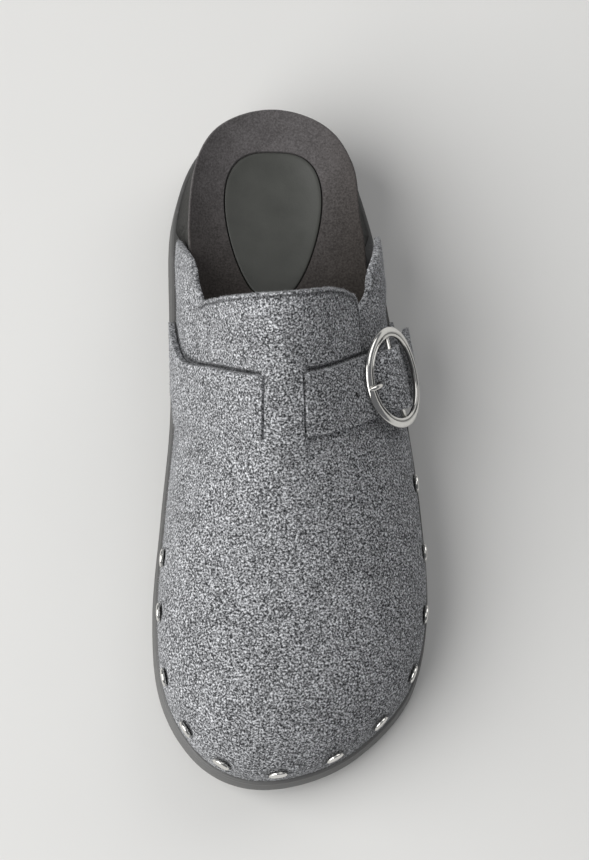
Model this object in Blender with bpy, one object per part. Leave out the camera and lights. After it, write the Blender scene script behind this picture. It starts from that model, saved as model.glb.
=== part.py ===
"""Left felt clog: closed toe, open heel, buckled instep strap and a studded lower edge.

Tables and sizes are in millimetres in the shoe's own plan: the heel end is at +Y, the toe at -Y, the outer
(lateral) side at +X and the inner (medial) side at -X. Meshes are written in metres.
"""
import math

import bmesh
import bpy
import numpy as np

MM = 0.001
GAP = 0.3

# Driving sizes
SOLE_LENGTH = 264.0
FELT = 2.6
STRAP_FELT = 2.2
CHAPE_FELT = 1.7
INSOLE_THICKNESS = 3.6
PATCH_THICKNESS = 1.2

# Sole outline: share of the length from the heel, inner x, outer x
SOLE_PLAN = (
    (0.00, -8.5, -8.5),
    (0.04, -35.0, 18.0),
    (0.15, -47.2, 31.0),
    (0.30, -47.6, 39.3),
    (0.45, -46.9, 46.0),
    (0.60, -50.2, 51.5),
    (0.75, -53.0, 53.4),
    (0.86, -50.4, 46.8),
    (0.95, -38.5, 26.5),
    (1.00, -10.5, -10.5),
)

# Heights along the sole: share, ledge top, footbed middle, rim rise inner, rim rise outer
SOLE_HEIGHTS = (
    (0.00, 20.5, 36.0, 10.0, 10.0),
    (0.12, 20.0, 34.5, 10.5, 10.5),
    (0.30, 18.6, 32.5, 10.0, 7.0),
    (0.45, 17.4, 29.5, 8.0, 4.5),
    (0.58, 16.2, 26.5, 4.0, 3.0),
    (0.72, 15.2, 24.5, 2.5, 2.5),
    (0.84, 15.8, 25.0, 2.5, 2.5),
    (0.93, 18.2, 27.0, 2.5, 2.5),
    (1.00, 21.5, 29.5, 2.5, 2.5),
)
ARCH_RISE, ARCH_FROM, ARCH_TO = 2.2, 0.36, 0.60
TOE_SPRING, TOE_SPRING_FROM = 8.5, 0.76
HEEL_BEVEL, HEEL_BEVEL_TO = 1.4, 0.06

# Outsole side wall from the tread up: inset from the outline, height, counted from the tread or the ledge
WALL_FROM_TREAD = ((2.2, 0.0), (0.5, 1.3), (0.0, 3.5))
WALL_FROM_LEDGE = ((1.2, -1.2), (1.5, -0.4), (2.1, 0.0))
TREAD_DEPTH = 1.8
TREAD_GROOVE = 3.0
TREAD_GROOVE_SHARES = (0.10, 0.155, 0.21, 0.265, 0.32, 0.60, 0.645, 0.69, 0.735, 0.78)
TREAD_MARGIN = 9.0

# Sections of the last: base share, ridge x, ridge y, wall lean in degrees inner and outer,
# fullness inner and outer
LAST_SECTIONS = (
    (1.000, -9.0, -101.0, 4.0, 4.0, 0.80, 0.80),
    (0.947, -8.8, -97.0, 4.0, 6.0, 0.80, 0.79),
    (0.879, -8.3, -88.0, 3.0, 6.0, 0.76, 0.74),
    (0.788, -7.5, -74.0, 2.0, 3.0, 0.70, 0.68),
    (0.667, -6.5, -50.0, 2.0, 2.0, 0.66, 0.62),
    (0.538, -6.5, -26.0, 4.0, 4.0, 0.60, 0.54),
    (0.384, -6.5, 0.0, 5.0, 7.0, 0.56, 0.48),
    (0.213, -7.5, 38.0, 3.0, 5.0, 0.66, 0.58),
    (0.115, -8.0, 60.0, 1.0, 1.0, 1.30, 1.30),
)
# Top line of the last: ridge y, height
RIDGE_HEIGHTS = (
    (-104.0, 52.08),
    (-101.0, 53.0),
    (-88.0, 57.0),
    (-74.0, 60.5),
    (-50.0, 66.5),
    (-26.0, 73.5),
    (0.0, 83.5),
    (38.0, 100.0),
    (60.0, 109.0),
)
WALL_HEIGHT = 5.0
WALL_SHARE = 0.08
FAN_FROM, FAN_TO = math.radians(112.0), math.radians(140.0)
FELT_INSET_SIDE, FELT_INSET_TOE = 1.9, 2.4

# Tongue tab, bridge and slits, in ridge stations and shares of the way from the ridge to the sole
TONGUE_INNER, TONGUE_OUTER = 0.62, 0.505
VAMP_SIDE_END = 1.0
SLIT_FRONT, SLIT_BACK = -11.3, 12.3
BRIDGE_HALF, SLIT_HALF = 0.125, 0.19
BRIDGE_RISE = 2.6
BRIDGE_FADE = 8.0
# Top edge of the tongue: share across, ridge station
TONGUE_EDGE = (
    (-0.620, 22.0),
    (-0.602, 26.2),
    (-0.548, 29.7),
    (-0.452, 32.9),
    (-0.232, 37.4),
    (0.000, 39.3),
    (0.197, 39.5),
    (0.347, 38.4),
    (0.432, 35.9),
    (0.485, 32.2),
    (0.505, 27.0),
)

# Top edges of the wings, from under the tongue back to the tip: ridge station, share across
WING_INNER = (
    (-16.0, 0.400),
    (10.0, 0.460),
    (20.0, 0.540),
    (27.0, 0.610),
    (33.9, 0.640),
    (39.6, 0.645),
    (43.4, 0.690),
    (45.4, 0.770),
    (46.8, 0.860),
)
WING_OUTER = (
    (-16.0, 0.360),
    (10.0, 0.400),
    (20.0, 0.460),
    (28.0, 0.540),
    (32.9, 0.583),
    (37.2, 0.590),
    (42.4, 0.620),
    (45.8, 0.680),
    (48.8, 0.745),
    (51.3, 0.795),
)
WING_BASE_END = 37.0
WING_DEPTH_BASE, WING_DEPTH_TOP = 0.6, 2.1
WING_TIP_ROUND = 0.16
WING_RISE_FROM, WING_RISE_TO = 28.0, 38.0
WING_FLARE_INNER, WING_FLARE_OUTER = 0.0, 3.2
WING_FLARE_FROM, WING_FLARE_TO = 16.0, 34.0

# Exposed midsole at the heel
MIDSOLE_INSET, MIDSOLE_LEAN = 2.4, math.radians(8.0)
COVER_FROM, COVER_TO = 0.182, 0.189
FOOTBED_CUP = 34.0

# Strap: share across (inner -1, ridge 0, outer +1), ridge station of its middle, half width
STRAP_ROUTE = (
    (-1.00, 1.2, 15.0),
    (-0.75, -3.0, 12.4),
    (-0.45, -1.0, 11.7),
    (0.00, 0.4, 11.7),
    (0.30, 1.7, 11.7),
    (0.45, 2.8, 11.7),
    (0.62, 3.2, 11.7),
    (0.80, 4.8, 11.7),
    (1.00, 6.0, 11.7),
)
STRAP_START, STRAP_END = -0.985, 0.90
PARED_SHARE = 0.75
TAIL_ROUND, TAIL_NARROWING = 0.06, 0.35
# Height of the strap's underside above the upper: share across, lift
BRIDGE_LIFTS = ((-1.0, 0.3), (-0.20, 0.35), (-0.14, -2.8), (0.14, -2.8), (0.20, 0.35))
# The same at the buckle: distance from its middle towards the sole, lift; before the bar the distance is
# stretched to the ring's curve
BUCKLE_LIFTS = ((-60.0, 0.35), (-20.5, 0.35), (-15.0, 0.55), (-7.0, 4.75), (0.0, 7.2), (11.0, 2.6),
                (20.0, 2.35), (60.0, 2.35))

# Buckle, on the outer side of the instep
BUCKLE_SHARE = 0.60
RING_RADIUS, RING_BAND, RING_DEPTH = 17.4, 3.8, 2.0
RING_LIFT, RING_TILT = 6.15, 0.12
BAR_RADIUS, BAR_DROP = 1.1, 0.5
PRONG_RADIUS = 0.85
PRONG_FROM, PRONG_TO = -2.4, -20.6
CHAPE_START = 0.60

# Studs: radius, height, centre above the ledge; section angles in degrees from the outer side round the toe
STUD_RADIUS, STUD_HEIGHT, STUD_LEVEL = 3.6, 0.8, 9.0
STUD_ANGLES = (95.5, 108.0, 120.0, 133.0, 146.5, 160.5, 176.0, 195.5, 211.5, 226.0, 240.0, 250.5)

# Egg-shaped heel patch: middle, half length, half width and how much wider it is at the heel
PATCH_MIDDLE = (-8.0, 84.4)
PATCH_HALF_LENGTH, PATCH_HALF_WIDTH, PATCH_EGG = 28.9, 17.2, 0.45

# Colour, roughness and metallic value of each material
MATERIALS = {
    "outsole_rubber": ((0.050, 0.050, 0.050), 0.70, 0.0),
    "midsole_foam": ((0.034, 0.034, 0.031), 0.75, 0.0),
    "footbed_suede": ((0.075, 0.066, 0.060), 0.95, 0.0),
    "patch_leather": ((0.070, 0.071, 0.066), 0.50, 0.0),
    "grey_felt": ((0.230, 0.235, 0.248), 0.95, 0.0),
    "polished_steel": ((0.780, 0.770, 0.740), 0.16, 1.0),
}


def smooth(xs, ys, at):
    """Cubic curve through the rows of a table, with slopes from the neighbouring rows."""
    xs = np.asarray(xs, float)
    ys = np.asarray(ys, float)
    slopes = np.gradient(ys, xs)
    at = np.asarray(at, float)
    row = np.clip(np.searchsorted(xs, at) - 1, 0, len(xs) - 2)
    span = xs[row + 1] - xs[row]
    t = np.clip((at - xs[row]) / span, 0.0, 1.0)
    rise = t * t * (3.0 - 2.0 * t)
    start = t * (1.0 - t) ** 2 * span
    finish = t * t * (t - 1.0) * span
    return ys[row] * (1.0 - rise) + ys[row + 1] * rise + slopes[row] * start + slopes[row + 1] * finish


def glide(xs, ys, at):
    """Curve that is level at every row of a table and eases from each row to the next."""
    xs, ys, at = np.asarray(xs, float), np.asarray(ys, float), np.asarray(at, float)
    row = np.clip(np.searchsorted(xs, at) - 1, 0, len(xs) - 2)
    return ys[row] + (ys[row + 1] - ys[row]) * step(0.0, 1.0, (at - xs[row]) / (xs[row + 1] - xs[row]))


def step(low, high, value):
    """Soft step from 0 at low to 1 at high."""
    t = np.clip((np.asarray(value, float) - low) / (high - low), 0.0, 1.0)
    return t * t * (3.0 - 2.0 * t)


def share_angle(share):
    """Angle around the sole, 0 at the heel and pi at the toe, for a share of the length."""
    return np.arccos(1.0 - 2.0 * np.asarray(share, float))


def share_at(y):
    """Share of the length at a place along the shoe."""
    return np.clip(0.5 - np.asarray(y, float) / SOLE_LENGTH, 0.0, 1.0)


def plan_rows():
    """Closed loop of outline rows: angle and x, with one turn added at each end."""
    outer = [(float(share_angle(s)), x) for s, _, x in SOLE_PLAN]
    inner = [(2.0 * math.pi - float(share_angle(s)), x) for s, x, _ in SOLE_PLAN[-2:0:-1]]
    loop = outer + inner
    turn = 2.0 * math.pi
    rows = [(a - turn, x) for a, x in loop] + loop + [(a + turn, x) for a, x in loop]
    return np.array(rows).T


PLAN_ANGLES, PLAN_X = plan_rows()


def outline(angle, inset=0.0):
    """Sole outline, moved inwards by inset."""
    angle = np.asarray(angle, float)
    nudge = 1e-3

    def point(a):
        return smooth(PLAN_ANGLES, PLAN_X, a), 0.5 * SOLE_LENGTH * np.cos(a)

    x, y = point(angle)
    x_next, y_next = point(angle + nudge)
    x_last, y_last = point(angle - nudge)
    tx, ty = x_next - x_last, y_next - y_last
    length = np.hypot(tx, ty)
    return x + inset * ty / length, y - inset * tx / length


def height_column(column, y):
    """A column of the sole's height table at a place along the shoe."""
    table = np.array(SOLE_HEIGHTS)
    return smooth(table[:, 0], table[:, column], share_at(y))


def tread_height(y):
    """Underside of the sole: flat under heel and ball, raised at the arch, the toe and the heel's edge."""
    share = share_at(y)
    waist = np.clip((share - ARCH_FROM) / (ARCH_TO - ARCH_FROM), 0.0, 1.0)
    arch = ARCH_RISE * np.sin(math.pi * waist) ** 2
    toe = TOE_SPRING * np.clip((share - TOE_SPRING_FROM) / (1.0 - TOE_SPRING_FROM), 0.0, 1.0) ** 2
    heel = HEEL_BEVEL * np.clip((HEEL_BEVEL_TO - share) / HEEL_BEVEL_TO, 0.0, 1.0) ** 2
    return arch + toe + heel


def ledge_height(y):
    """Top of the outsole, on which midsole and felt stand."""
    return height_column(1, y)


def felt_inset(angle):
    """How far the felt's lower edge stands inside the sole outline."""
    toe = step(math.radians(120.0), math.radians(170.0), np.minimum(angle, 2.0 * math.pi - angle))
    return FELT_INSET_SIDE + (FELT_INSET_TOE - FELT_INSET_SIDE) * toe


def section_column(column, angle):
    """A column of the last's section table, mirrored at the toe so that the toe is round."""
    table = np.array(LAST_SECTIONS)
    angles = share_angle(table[:, 0])
    mirrored = np.concatenate([angles[::-1], 2.0 * math.pi - angles[1:]])
    values = np.concatenate([table[::-1, column], table[1:, column]])
    return smooth(mirrored, values, angle)


def ridge_height(y):
    """Height of the last's top line."""
    ys, zs = np.array(RIDGE_HEIGHTS).T
    return smooth(ys, zs, y)


def wall_profile(rise, reach, height, lean, fullness, end_slope):
    """Half a section: a leaning wall, then a conic that runs out level at the ridge.

    rise goes from 0 at the sole to 1 at the ridge. Returns the way in and the way up.
    """
    tan_lean = np.tan(lean)
    wall_in, wall_up = WALL_HEIGHT * tan_lean, WALL_HEIGHT
    climb = (height - wall_up + end_slope * (wall_in - reach)) / (1.0 - end_slope * tan_lean)
    knee_in, knee_up = wall_in + climb * tan_lean, wall_up + climb
    t = np.clip((rise - WALL_SHARE) / (1.0 - WALL_SHARE), 0.0, 1.0)
    a, b, c = (1.0 - t) ** 2, 2.0 * fullness * t * (1.0 - t), t * t
    total = a + b + c
    curve_in = (a * wall_in + b * knee_in + c * reach) / total
    curve_up = (a * wall_up + b * knee_up + c * height) / total
    on_wall = rise < WALL_SHARE
    part = rise / WALL_SHARE
    return np.where(on_wall, wall_in * part, curve_in), np.where(on_wall, wall_up * part, curve_up)


def last_point(angle, across):
    """Point of the upper's outer face: angle picks the section, across runs from -1 inner to +1 outer."""
    angle, across = np.broadcast_arrays(np.asarray(angle, float), np.asarray(across, float))
    folded = angle > math.pi
    across = np.where(folded, -across, across)
    angle = np.where(folded, 2.0 * math.pi - angle, angle)
    outer = across >= 0.0
    lean = np.radians(np.where(outer, section_column(4, angle), section_column(3, angle)))
    fullness = np.where(outer, section_column(6, angle), section_column(5, angle))
    ridge_x, ridge_y = section_column(1, angle), section_column(2, angle)
    ridge_z = ridge_height(ridge_y)
    ridge_slope = (ridge_height(ridge_y + 0.5) - ridge_height(ridge_y - 0.5))
    fan = step(FAN_FROM, FAN_TO, angle)
    side_angle = np.where(outer, angle, 2.0 * math.pi - angle)
    base_x, base_y = outline(side_angle, felt_inset(side_angle))
    base_z = ledge_height(base_y) + GAP
    along = ridge_y - base_y
    reach = np.hypot(ridge_x - base_x, fan * along)
    height = ridge_z - base_z
    end_slope = ridge_slope * fan * along / reach
    way_in, way_up = wall_profile(1.0 - np.abs(across), reach, height, lean, fullness, end_slope)
    share_in, share_up = way_in / reach, way_up / height
    y = base_y + along * (fan * share_in + (1.0 - fan) * share_up)
    own_angle = np.arccos(np.clip(2.0 * y / SOLE_LENGTH, -1.0, 1.0))
    own_angle = np.where(outer, own_angle, 2.0 * math.pi - own_angle)
    own_x, _ = outline(own_angle, felt_inset(own_angle))
    foot_x = fan * base_x + (1.0 - fan) * own_x
    x = foot_x + (ridge_x - foot_x) * share_in
    return np.stack([x, y, base_z + way_up], axis=-1)


def unit(vectors):
    return vectors / np.linalg.norm(vectors, axis=-1, keepdims=True)


def last_normal(angle, across):
    """Outward direction of the upper's outer face."""
    nudge = 2e-3
    across = np.where(np.abs(across) < 2.0 * nudge, 2.0 * nudge, across)
    forward = last_point(angle + nudge, across) - last_point(angle - nudge, across)
    sideways = last_point(angle, across + nudge) - last_point(angle, across - nudge)
    return unit(np.cross(forward, sideways))


FINE_ANGLES = np.linspace(math.pi, float(share_angle(LAST_SECTIONS[-1][0])), 400)
FINE_STATIONS = section_column(2, FINE_ANGLES)


def station_angle(station):
    """Section angle whose ridge point is at this station."""
    return np.interp(station, FINE_STATIONS, FINE_ANGLES)


def face_slices():
    """Grid of the upper's lower outer face, from the outer side round the toe to the inner side."""
    angles = np.linspace(FINE_ANGLES[-1], math.pi, 90)[:, None]
    across = np.linspace(1.0, 0.3, 40)[None, :]
    return np.concatenate([last_point(angles, across), last_point(angles[::-1], -across)])


FACE_SLICES = face_slices()


def wall_depth(angle, height):
    """Distance from the sole outline in to the upper's outer face at a height, for points around the sole."""
    start_x, start_y = outline(angle)
    next_x, next_y = outline(angle, 1.0)
    depths = np.zeros(len(angle))
    for i, z in enumerate(height):
        slice_x = np.array([np.interp(z, line[:, 2], line[:, 0]) for line in FACE_SLICES]) - start_x[i]
        slice_y = np.array([np.interp(z, line[:, 2], line[:, 1]) for line in FACE_SLICES]) - start_y[i]
        in_x, in_y = next_x[i] - start_x[i], next_y[i] - start_y[i]
        beside = slice_x * in_y - slice_y * in_x
        inward = slice_x * in_x + slice_y * in_y
        share = beside[:-1] / (beside[:-1] - beside[1:] + 1e-12)
        crossing = inward[:-1] + (inward[1:] - inward[:-1]) * share
        found = crossing[(share >= 0.0) & (share <= 1.0) & (crossing > 0.0)]
        depths[i] = found.min() if len(found) else 0.0
    return depths


def make_material(name):
    colour, roughness, metallic = MATERIALS[name]
    material = bpy.data.materials.new(name)
    material.use_nodes = True
    shader = material.node_tree.nodes["Principled BSDF"]
    shader.inputs["Base Color"].default_value = (*colour, 1.0)
    shader.inputs["Roughness"].default_value = roughness
    shader.inputs["Metallic"].default_value = metallic
    return material


def make_object(name, points, faces, material, sharp_degrees=40.0):
    """Closed mesh object from points in millimetres, with faces turned outwards."""
    mesh = bpy.data.meshes.new(name)
    mesh.from_pydata((np.asarray(points) * MM).tolist(), [], faces)
    work = bmesh.new()
    work.from_mesh(mesh)
    bmesh.ops.remove_doubles(work, verts=work.verts, dist=1e-7)
    bmesh.ops.delete(work, geom=[v for v in work.verts if not v.link_faces], context="VERTS")
    bmesh.ops.recalc_face_normals(work, faces=work.faces)
    work.to_mesh(mesh)
    work.free()
    mesh.shade_smooth()
    mesh.set_sharp_from_angle(angle=math.radians(sharp_degrees))
    item = bpy.data.objects.new(name, mesh)
    bpy.context.collection.objects.link(item)
    item.data.materials.append(bpy.data.materials[material])
    return item


def combine(item, other, operation):
    """Boolean of two objects: the first keeps the result and the second is removed."""
    modifier = item.modifiers.new(operation.lower(), "BOOLEAN")
    modifier.operation = operation
    modifier.solver = "EXACT"
    modifier.object = other
    bpy.context.view_layer.update()
    result = bpy.data.meshes.new_from_object(item.evaluated_get(bpy.context.evaluated_depsgraph_get()))
    item.modifiers.clear()
    item.data = result
    bpy.data.objects.remove(other)


def stack(name, loops, fractions, cap_low, cap_high, material):
    """Solid between closed loops around the sole, capped across by a grid of rungs at both ends.

    loops run from the lowest to the highest; the cap functions give the height at x, y inside a loop.
    """
    count = len(loops[0])
    half = count // 2
    points = [p for loop in loops for p in loop]
    faces = []
    for k in range(len(loops) - 1):
        for i in range(count):
            j = (i + 1) % count
            faces.append((k * count + i, k * count + j, (k + 1) * count + j, (k + 1) * count + i))
    for start, cap in ((0, cap_low), ((len(loops) - 1) * count, cap_high)):
        rungs = [[start]]
        for i in range(1, half):
            a, b = np.array(points[start + i]), np.array(points[start + count - i])
            rung = [start + i]
            for f in fractions:
                x, y = (a + (b - a) * f)[:2]
                rung.append(len(points))
                points.append((x, y, float(cap(x, y))))
            rung.append(start + count - i)
            rungs.append(rung)
        rungs.append([start + half])
        for one, two in zip(rungs, rungs[1:]):
            for i in range(max(len(one), len(two)) - 1):
                quad = [one[min(i, len(one) - 1)], one[min(i + 1, len(one) - 1)]]
                quad += [two[min(i + 1, len(two) - 1)], two[min(i, len(two) - 1)]]
                faces.append(tuple(dict.fromkeys(quad)))
    return make_object(name, points, faces, material)


def shell(name, outer, inner, keep, material, closed_toe=False):
    """Closed wall between two grids of points, over the kept cells, with a rim round every opening."""
    rows, columns = outer.shape[:2]
    points = np.concatenate([outer.reshape(-1, 3), inner.reshape(-1, 3)])
    under = rows * columns
    faces = []

    def kept(i, j):
        return 0 <= i < rows - 1 and 0 <= j < columns - 1 and keep[i, j]

    for i in range(rows - 1):
        for j in range(columns - 1):
            if not keep[i, j]:
                continue
            a, b = i * columns + j, i * columns + j + 1
            c, d = b + columns, a + columns
            faces.append((a, b, c, d))
            faces.append((d + under, c + under, b + under, a + under))
            edges = (((i - 1, j), a, b), ((i, j + 1), b, c), ((i + 1, j), c, d), ((i, j - 1), d, a))
            for (ni, nj), p, q in edges:
                if kept(ni, nj) or (closed_toe and ni < 0):
                    continue
                faces.append((q, p, p + under, q + under))
    return make_object(name, points, faces, material)


# Sole unit
COVER_ANGLES = share_angle(np.array([COVER_FROM, COVER_TO]))
HALF_ANGLES = np.sort(np.concatenate([np.linspace(0.0, math.pi, 33), COVER_ANGLES]))
AROUND = np.concatenate([HALF_ANGLES, 2.0 * math.pi - HALF_ANGLES[-2:0:-1]])
RUNGS = (0.10, 0.24, 0.42, 0.58, 0.76, 0.90)


def sole_loop(inset, height):
    """Loop around the sole at an inset, with a height function of y."""
    x, y = outline(AROUND, inset)
    return np.stack([x, y, height(y)], axis=-1)


def tread_groove(share):
    """Bar that cuts one cross groove into the tread."""
    y = (0.5 - share) * SOLE_LENGTH
    angle = float(share_angle(share))
    right, _ = outline(np.array([angle]), TREAD_MARGIN)
    left, _ = outline(np.array([2.0 * math.pi - angle]), TREAD_MARGIN)
    low = float(tread_height(y)) - 4.0
    top = float(tread_height(y)) + TREAD_DEPTH
    corners = [(x, y + s * 0.5 * TREAD_GROOVE, z) for z in (low, top)
               for x, s in ((left[0], -1), (right[0], -1), (right[0], 1), (left[0], 1))]
    faces = [(3, 2, 1, 0), (4, 5, 6, 7), (0, 1, 5, 4), (1, 2, 6, 5), (2, 3, 7, 6), (3, 0, 4, 7)]
    return make_object("tread_groove", corners, faces, "outsole_rubber")


def make_outsole():
    low = [sole_loop(inset, lambda y, up=up: tread_height(y) + up) for inset, up in WALL_FROM_TREAD]
    high = [sole_loop(inset, lambda y, up=up: ledge_height(y) + up) for inset, up in WALL_FROM_LEDGE]
    item = stack("outsole", low + high, (0.5,), lambda x, y: tread_height(y), lambda x, y: ledge_height(y),
                 "outsole_rubber")
    for share in TREAD_GROOVE_SHARES:
        combine(item, tread_groove(share), "DIFFERENCE")
    return item


def covered(angle):
    """1 where felt stands on the ledge, 0 at the bare heel."""
    own = np.minimum(angle, 2.0 * math.pi - angle)
    return step(float(share_angle(COVER_FROM)), float(share_angle(COVER_TO)), own)


def rim_height(angle, y):
    """Height of the footbed's edge."""
    inner_side = angle > math.pi
    rise = np.where(inner_side, height_column(3, y), height_column(4, y))
    end = np.minimum(1.0, np.abs(np.sin(angle)) / 0.5)
    middle = 0.5 * (height_column(3, y) + height_column(4, y))
    return height_column(2, y) + middle + (rise - middle) * end


def footbed_edge(below):
    """Loop round the footbed's edge, a distance below its rim, clear of the felt in front of the wings."""
    x, y = outline(AROUND, 8.0)
    z = rim_height(AROUND, y) - below
    up = z - ledge_height(y)
    bare = MIDSOLE_INSET + up * math.tan(MIDSOLE_LEAN)
    felted = wall_depth(AROUND, z) + 1.05 * (WING_DEPTH_BASE + FELT) + 2.0 * GAP
    inset = bare + (felted - bare) * covered(AROUND)
    x, y = outline(AROUND, inset)
    return np.stack([x, y, z], axis=-1)


FOOTBED_EDGE = footbed_edge(0.0)


def footbed_surface(x, y, below=0.0):
    """Height of the footbed inside its edge: a flat bed that turns up into the rim."""
    start, end = FOOTBED_EDGE, np.roll(FOOTBED_EDGE, -1, axis=0)
    side = end - start
    way = (x - start[:, 0]) * side[:, 0] + (y - start[:, 1]) * side[:, 1]
    share = way / np.sum(side[:, :2] ** 2, axis=1)
    nearest = start + side * np.clip(share, 0.0, 1.0)[:, None]
    gaps = np.hypot(nearest[:, 0] - x, nearest[:, 1] - y)
    k = int(np.argmin(gaps))
    bed = float(height_column(2, y))
    turn = max(0.0, 1.0 - float(gaps[k]) / FOOTBED_CUP) ** 3
    return bed + (float(nearest[k, 2]) - bed) * turn - below


def make_midsole():
    felted = felt_inset(AROUND) + WING_DEPTH_BASE + FELT + 2.0 * GAP
    foot = MIDSOLE_INSET + (felted - MIDSOLE_INSET) * covered(AROUND)
    x, y = outline(AROUND, foot)
    low = np.stack([x, y, ledge_height(y) + GAP], axis=-1)
    top_drop = INSOLE_THICKNESS + GAP
    high = footbed_edge(top_drop)
    middle = footbed_edge(top_drop + 5.0)
    return stack("midsole", [low, middle, high], RUNGS, lambda x, y: ledge_height(y) + GAP,
                 lambda x, y: footbed_surface(x, y, top_drop), "midsole_foam")


def make_insole():
    low = footbed_edge(INSOLE_THICKNESS)
    side = footbed_edge(0.8)
    top = footbed_edge(0.0)
    inward = unit(np.stack([-8.0 - top[:, 0], 0.6 * (20.0 - top[:, 1])], axis=-1))
    top[:, :2] += 0.8 * inward
    return stack("insole", [low, side, top], RUNGS, lambda x, y: footbed_surface(x, y, INSOLE_THICKNESS),
                 lambda x, y: footbed_surface(x, y), "footbed_suede")


def egg_slab(name, grow, low, high):
    """Slab of the patch's egg outline on the footbed, between two depths below its surface."""
    count = 36
    turn = np.arange(count) * 2.0 * math.pi / count
    x0, y0 = PATCH_MIDDLE
    loops = []
    for depth in (low, high):
        x = x0 + (PATCH_HALF_WIDTH + grow) * np.sin(turn) * (1.0 + PATCH_EGG * np.cos(turn))
        y = y0 + (PATCH_HALF_LENGTH + grow) * np.cos(turn)
        z = [footbed_surface(a, b, depth) for a, b in zip(x, y)]
        loops.append(np.stack([x, y, z], axis=-1))
    return stack(name, loops, (0.3, 0.7), lambda x, y: footbed_surface(x, y, low),
                 lambda x, y: footbed_surface(x, y, high), "patch_leather")


# Upper
def half_lines(tongue_half):
    """Lines along half the upper, from the ridge to the sole, with one at the tongue's side."""
    beside = SLIT_HALF + (tongue_half - SLIT_HALF) * np.array([0.30, 0.56, 0.78, 0.92, 1.0])
    below = np.linspace(tongue_half, 1.0, 7)[1:]
    return np.concatenate([[0.0, BRIDGE_HALF, SLIT_HALF], beside, below])


EVEN_LINES = half_lines(0.5 * (TONGUE_INNER + TONGUE_OUTER))
EVEN_ACROSS = np.concatenate([-EVEN_LINES[:0:-1], EVEN_LINES])
ACROSS = np.concatenate([-half_lines(TONGUE_INNER)[:0:-1], half_lines(TONGUE_OUTER)])
TOE_ROWS = 17
BACK_STATIONS = np.array([-7.0, VAMP_SIDE_END, 7.0, SLIT_BACK])
TAB_SHARES = np.array([0.2, 0.4, 0.6, 0.8, 1.0])


def bridge_bulge(angle, across):
    """Rise of the felt where the strap runs under the bridge."""
    station = section_column(2, angle)
    side = 1.0 - step(BRIDGE_HALF + 0.01, SLIT_HALF - 0.02, np.abs(across))
    front = step(SLIT_FRONT - BRIDGE_FADE, SLIT_FRONT + 2.0, station)
    back = 1.0 - step(SLIT_BACK - 2.0, SLIT_BACK + BRIDGE_FADE, station)
    return BRIDGE_RISE * side * front * back


def tongue_edge(across):
    """Ridge station of the tongue's top edge, round its two corners."""
    shares, stations = np.array(TONGUE_EDGE).T
    return smooth(shares, stations, np.clip(across, shares[0], shares[-1]))


def stand_clear(points):
    """Felt points kept just above the ledge they stand on."""
    points[..., 2] = np.maximum(points[..., 2], ledge_height(points[..., 1]) + GAP)
    return points


def make_vamp():
    front = np.linspace(math.pi, float(station_angle(SLIT_FRONT)), TOE_ROWS)
    body = np.concatenate([front, station_angle(BACK_STATIONS)])
    tab = SLIT_BACK + TAB_SHARES[:, None] * (tongue_edge(ACROSS)[None, :] - SLIT_BACK)
    grid_angle = np.concatenate([np.repeat(body[:, None], len(ACROSS), axis=1), station_angle(tab)])
    stations = np.concatenate([section_column(2, body), tab[:, len(ACROSS) // 2]])
    back = step(-70.0, SLIT_FRONT, stations)[:, None]
    grid_across = EVEN_ACROSS * (1.0 - back) + ACROSS * back
    points = last_point(grid_angle, grid_across)
    normals = last_normal(grid_angle, grid_across)
    rise = bridge_bulge(grid_angle, grid_across)[..., None]
    keep = np.ones((len(stations) - 1, len(ACROSS) - 1), bool)
    small = 1e-6
    for i in range(keep.shape[0]):
        for j in range(keep.shape[1]):
            middle = abs(0.5 * (ACROSS[j] + ACROSS[j + 1]))
            tongue_half = TONGUE_INNER if ACROSS[j] < 0.0 else TONGUE_OUTER
            station = 0.5 * (stations[i] + stations[i + 1])
            in_slit = BRIDGE_HALF - small < middle < SLIT_HALF + small and SLIT_FRONT < station < SLIT_BACK
            beside_tongue = middle > tongue_half and station > VAMP_SIDE_END
            keep[i, j] = not (in_slit or beside_tongue)
    outer, inner = stand_clear(points + normals * rise), stand_clear(points + normals * (rise - FELT))
    return shell("upper", outer, inner, keep, "grey_felt", closed_toe=True)


def across_at_height(angle, sign, height):
    """Share across at which a section reaches a height."""
    across = np.linspace(1.0, 0.0, 200)
    return np.array([np.interp(h, last_point(np.full(200, a), sign * across)[:, 2], across)
                     for a, h in zip(angle, height)])


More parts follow.
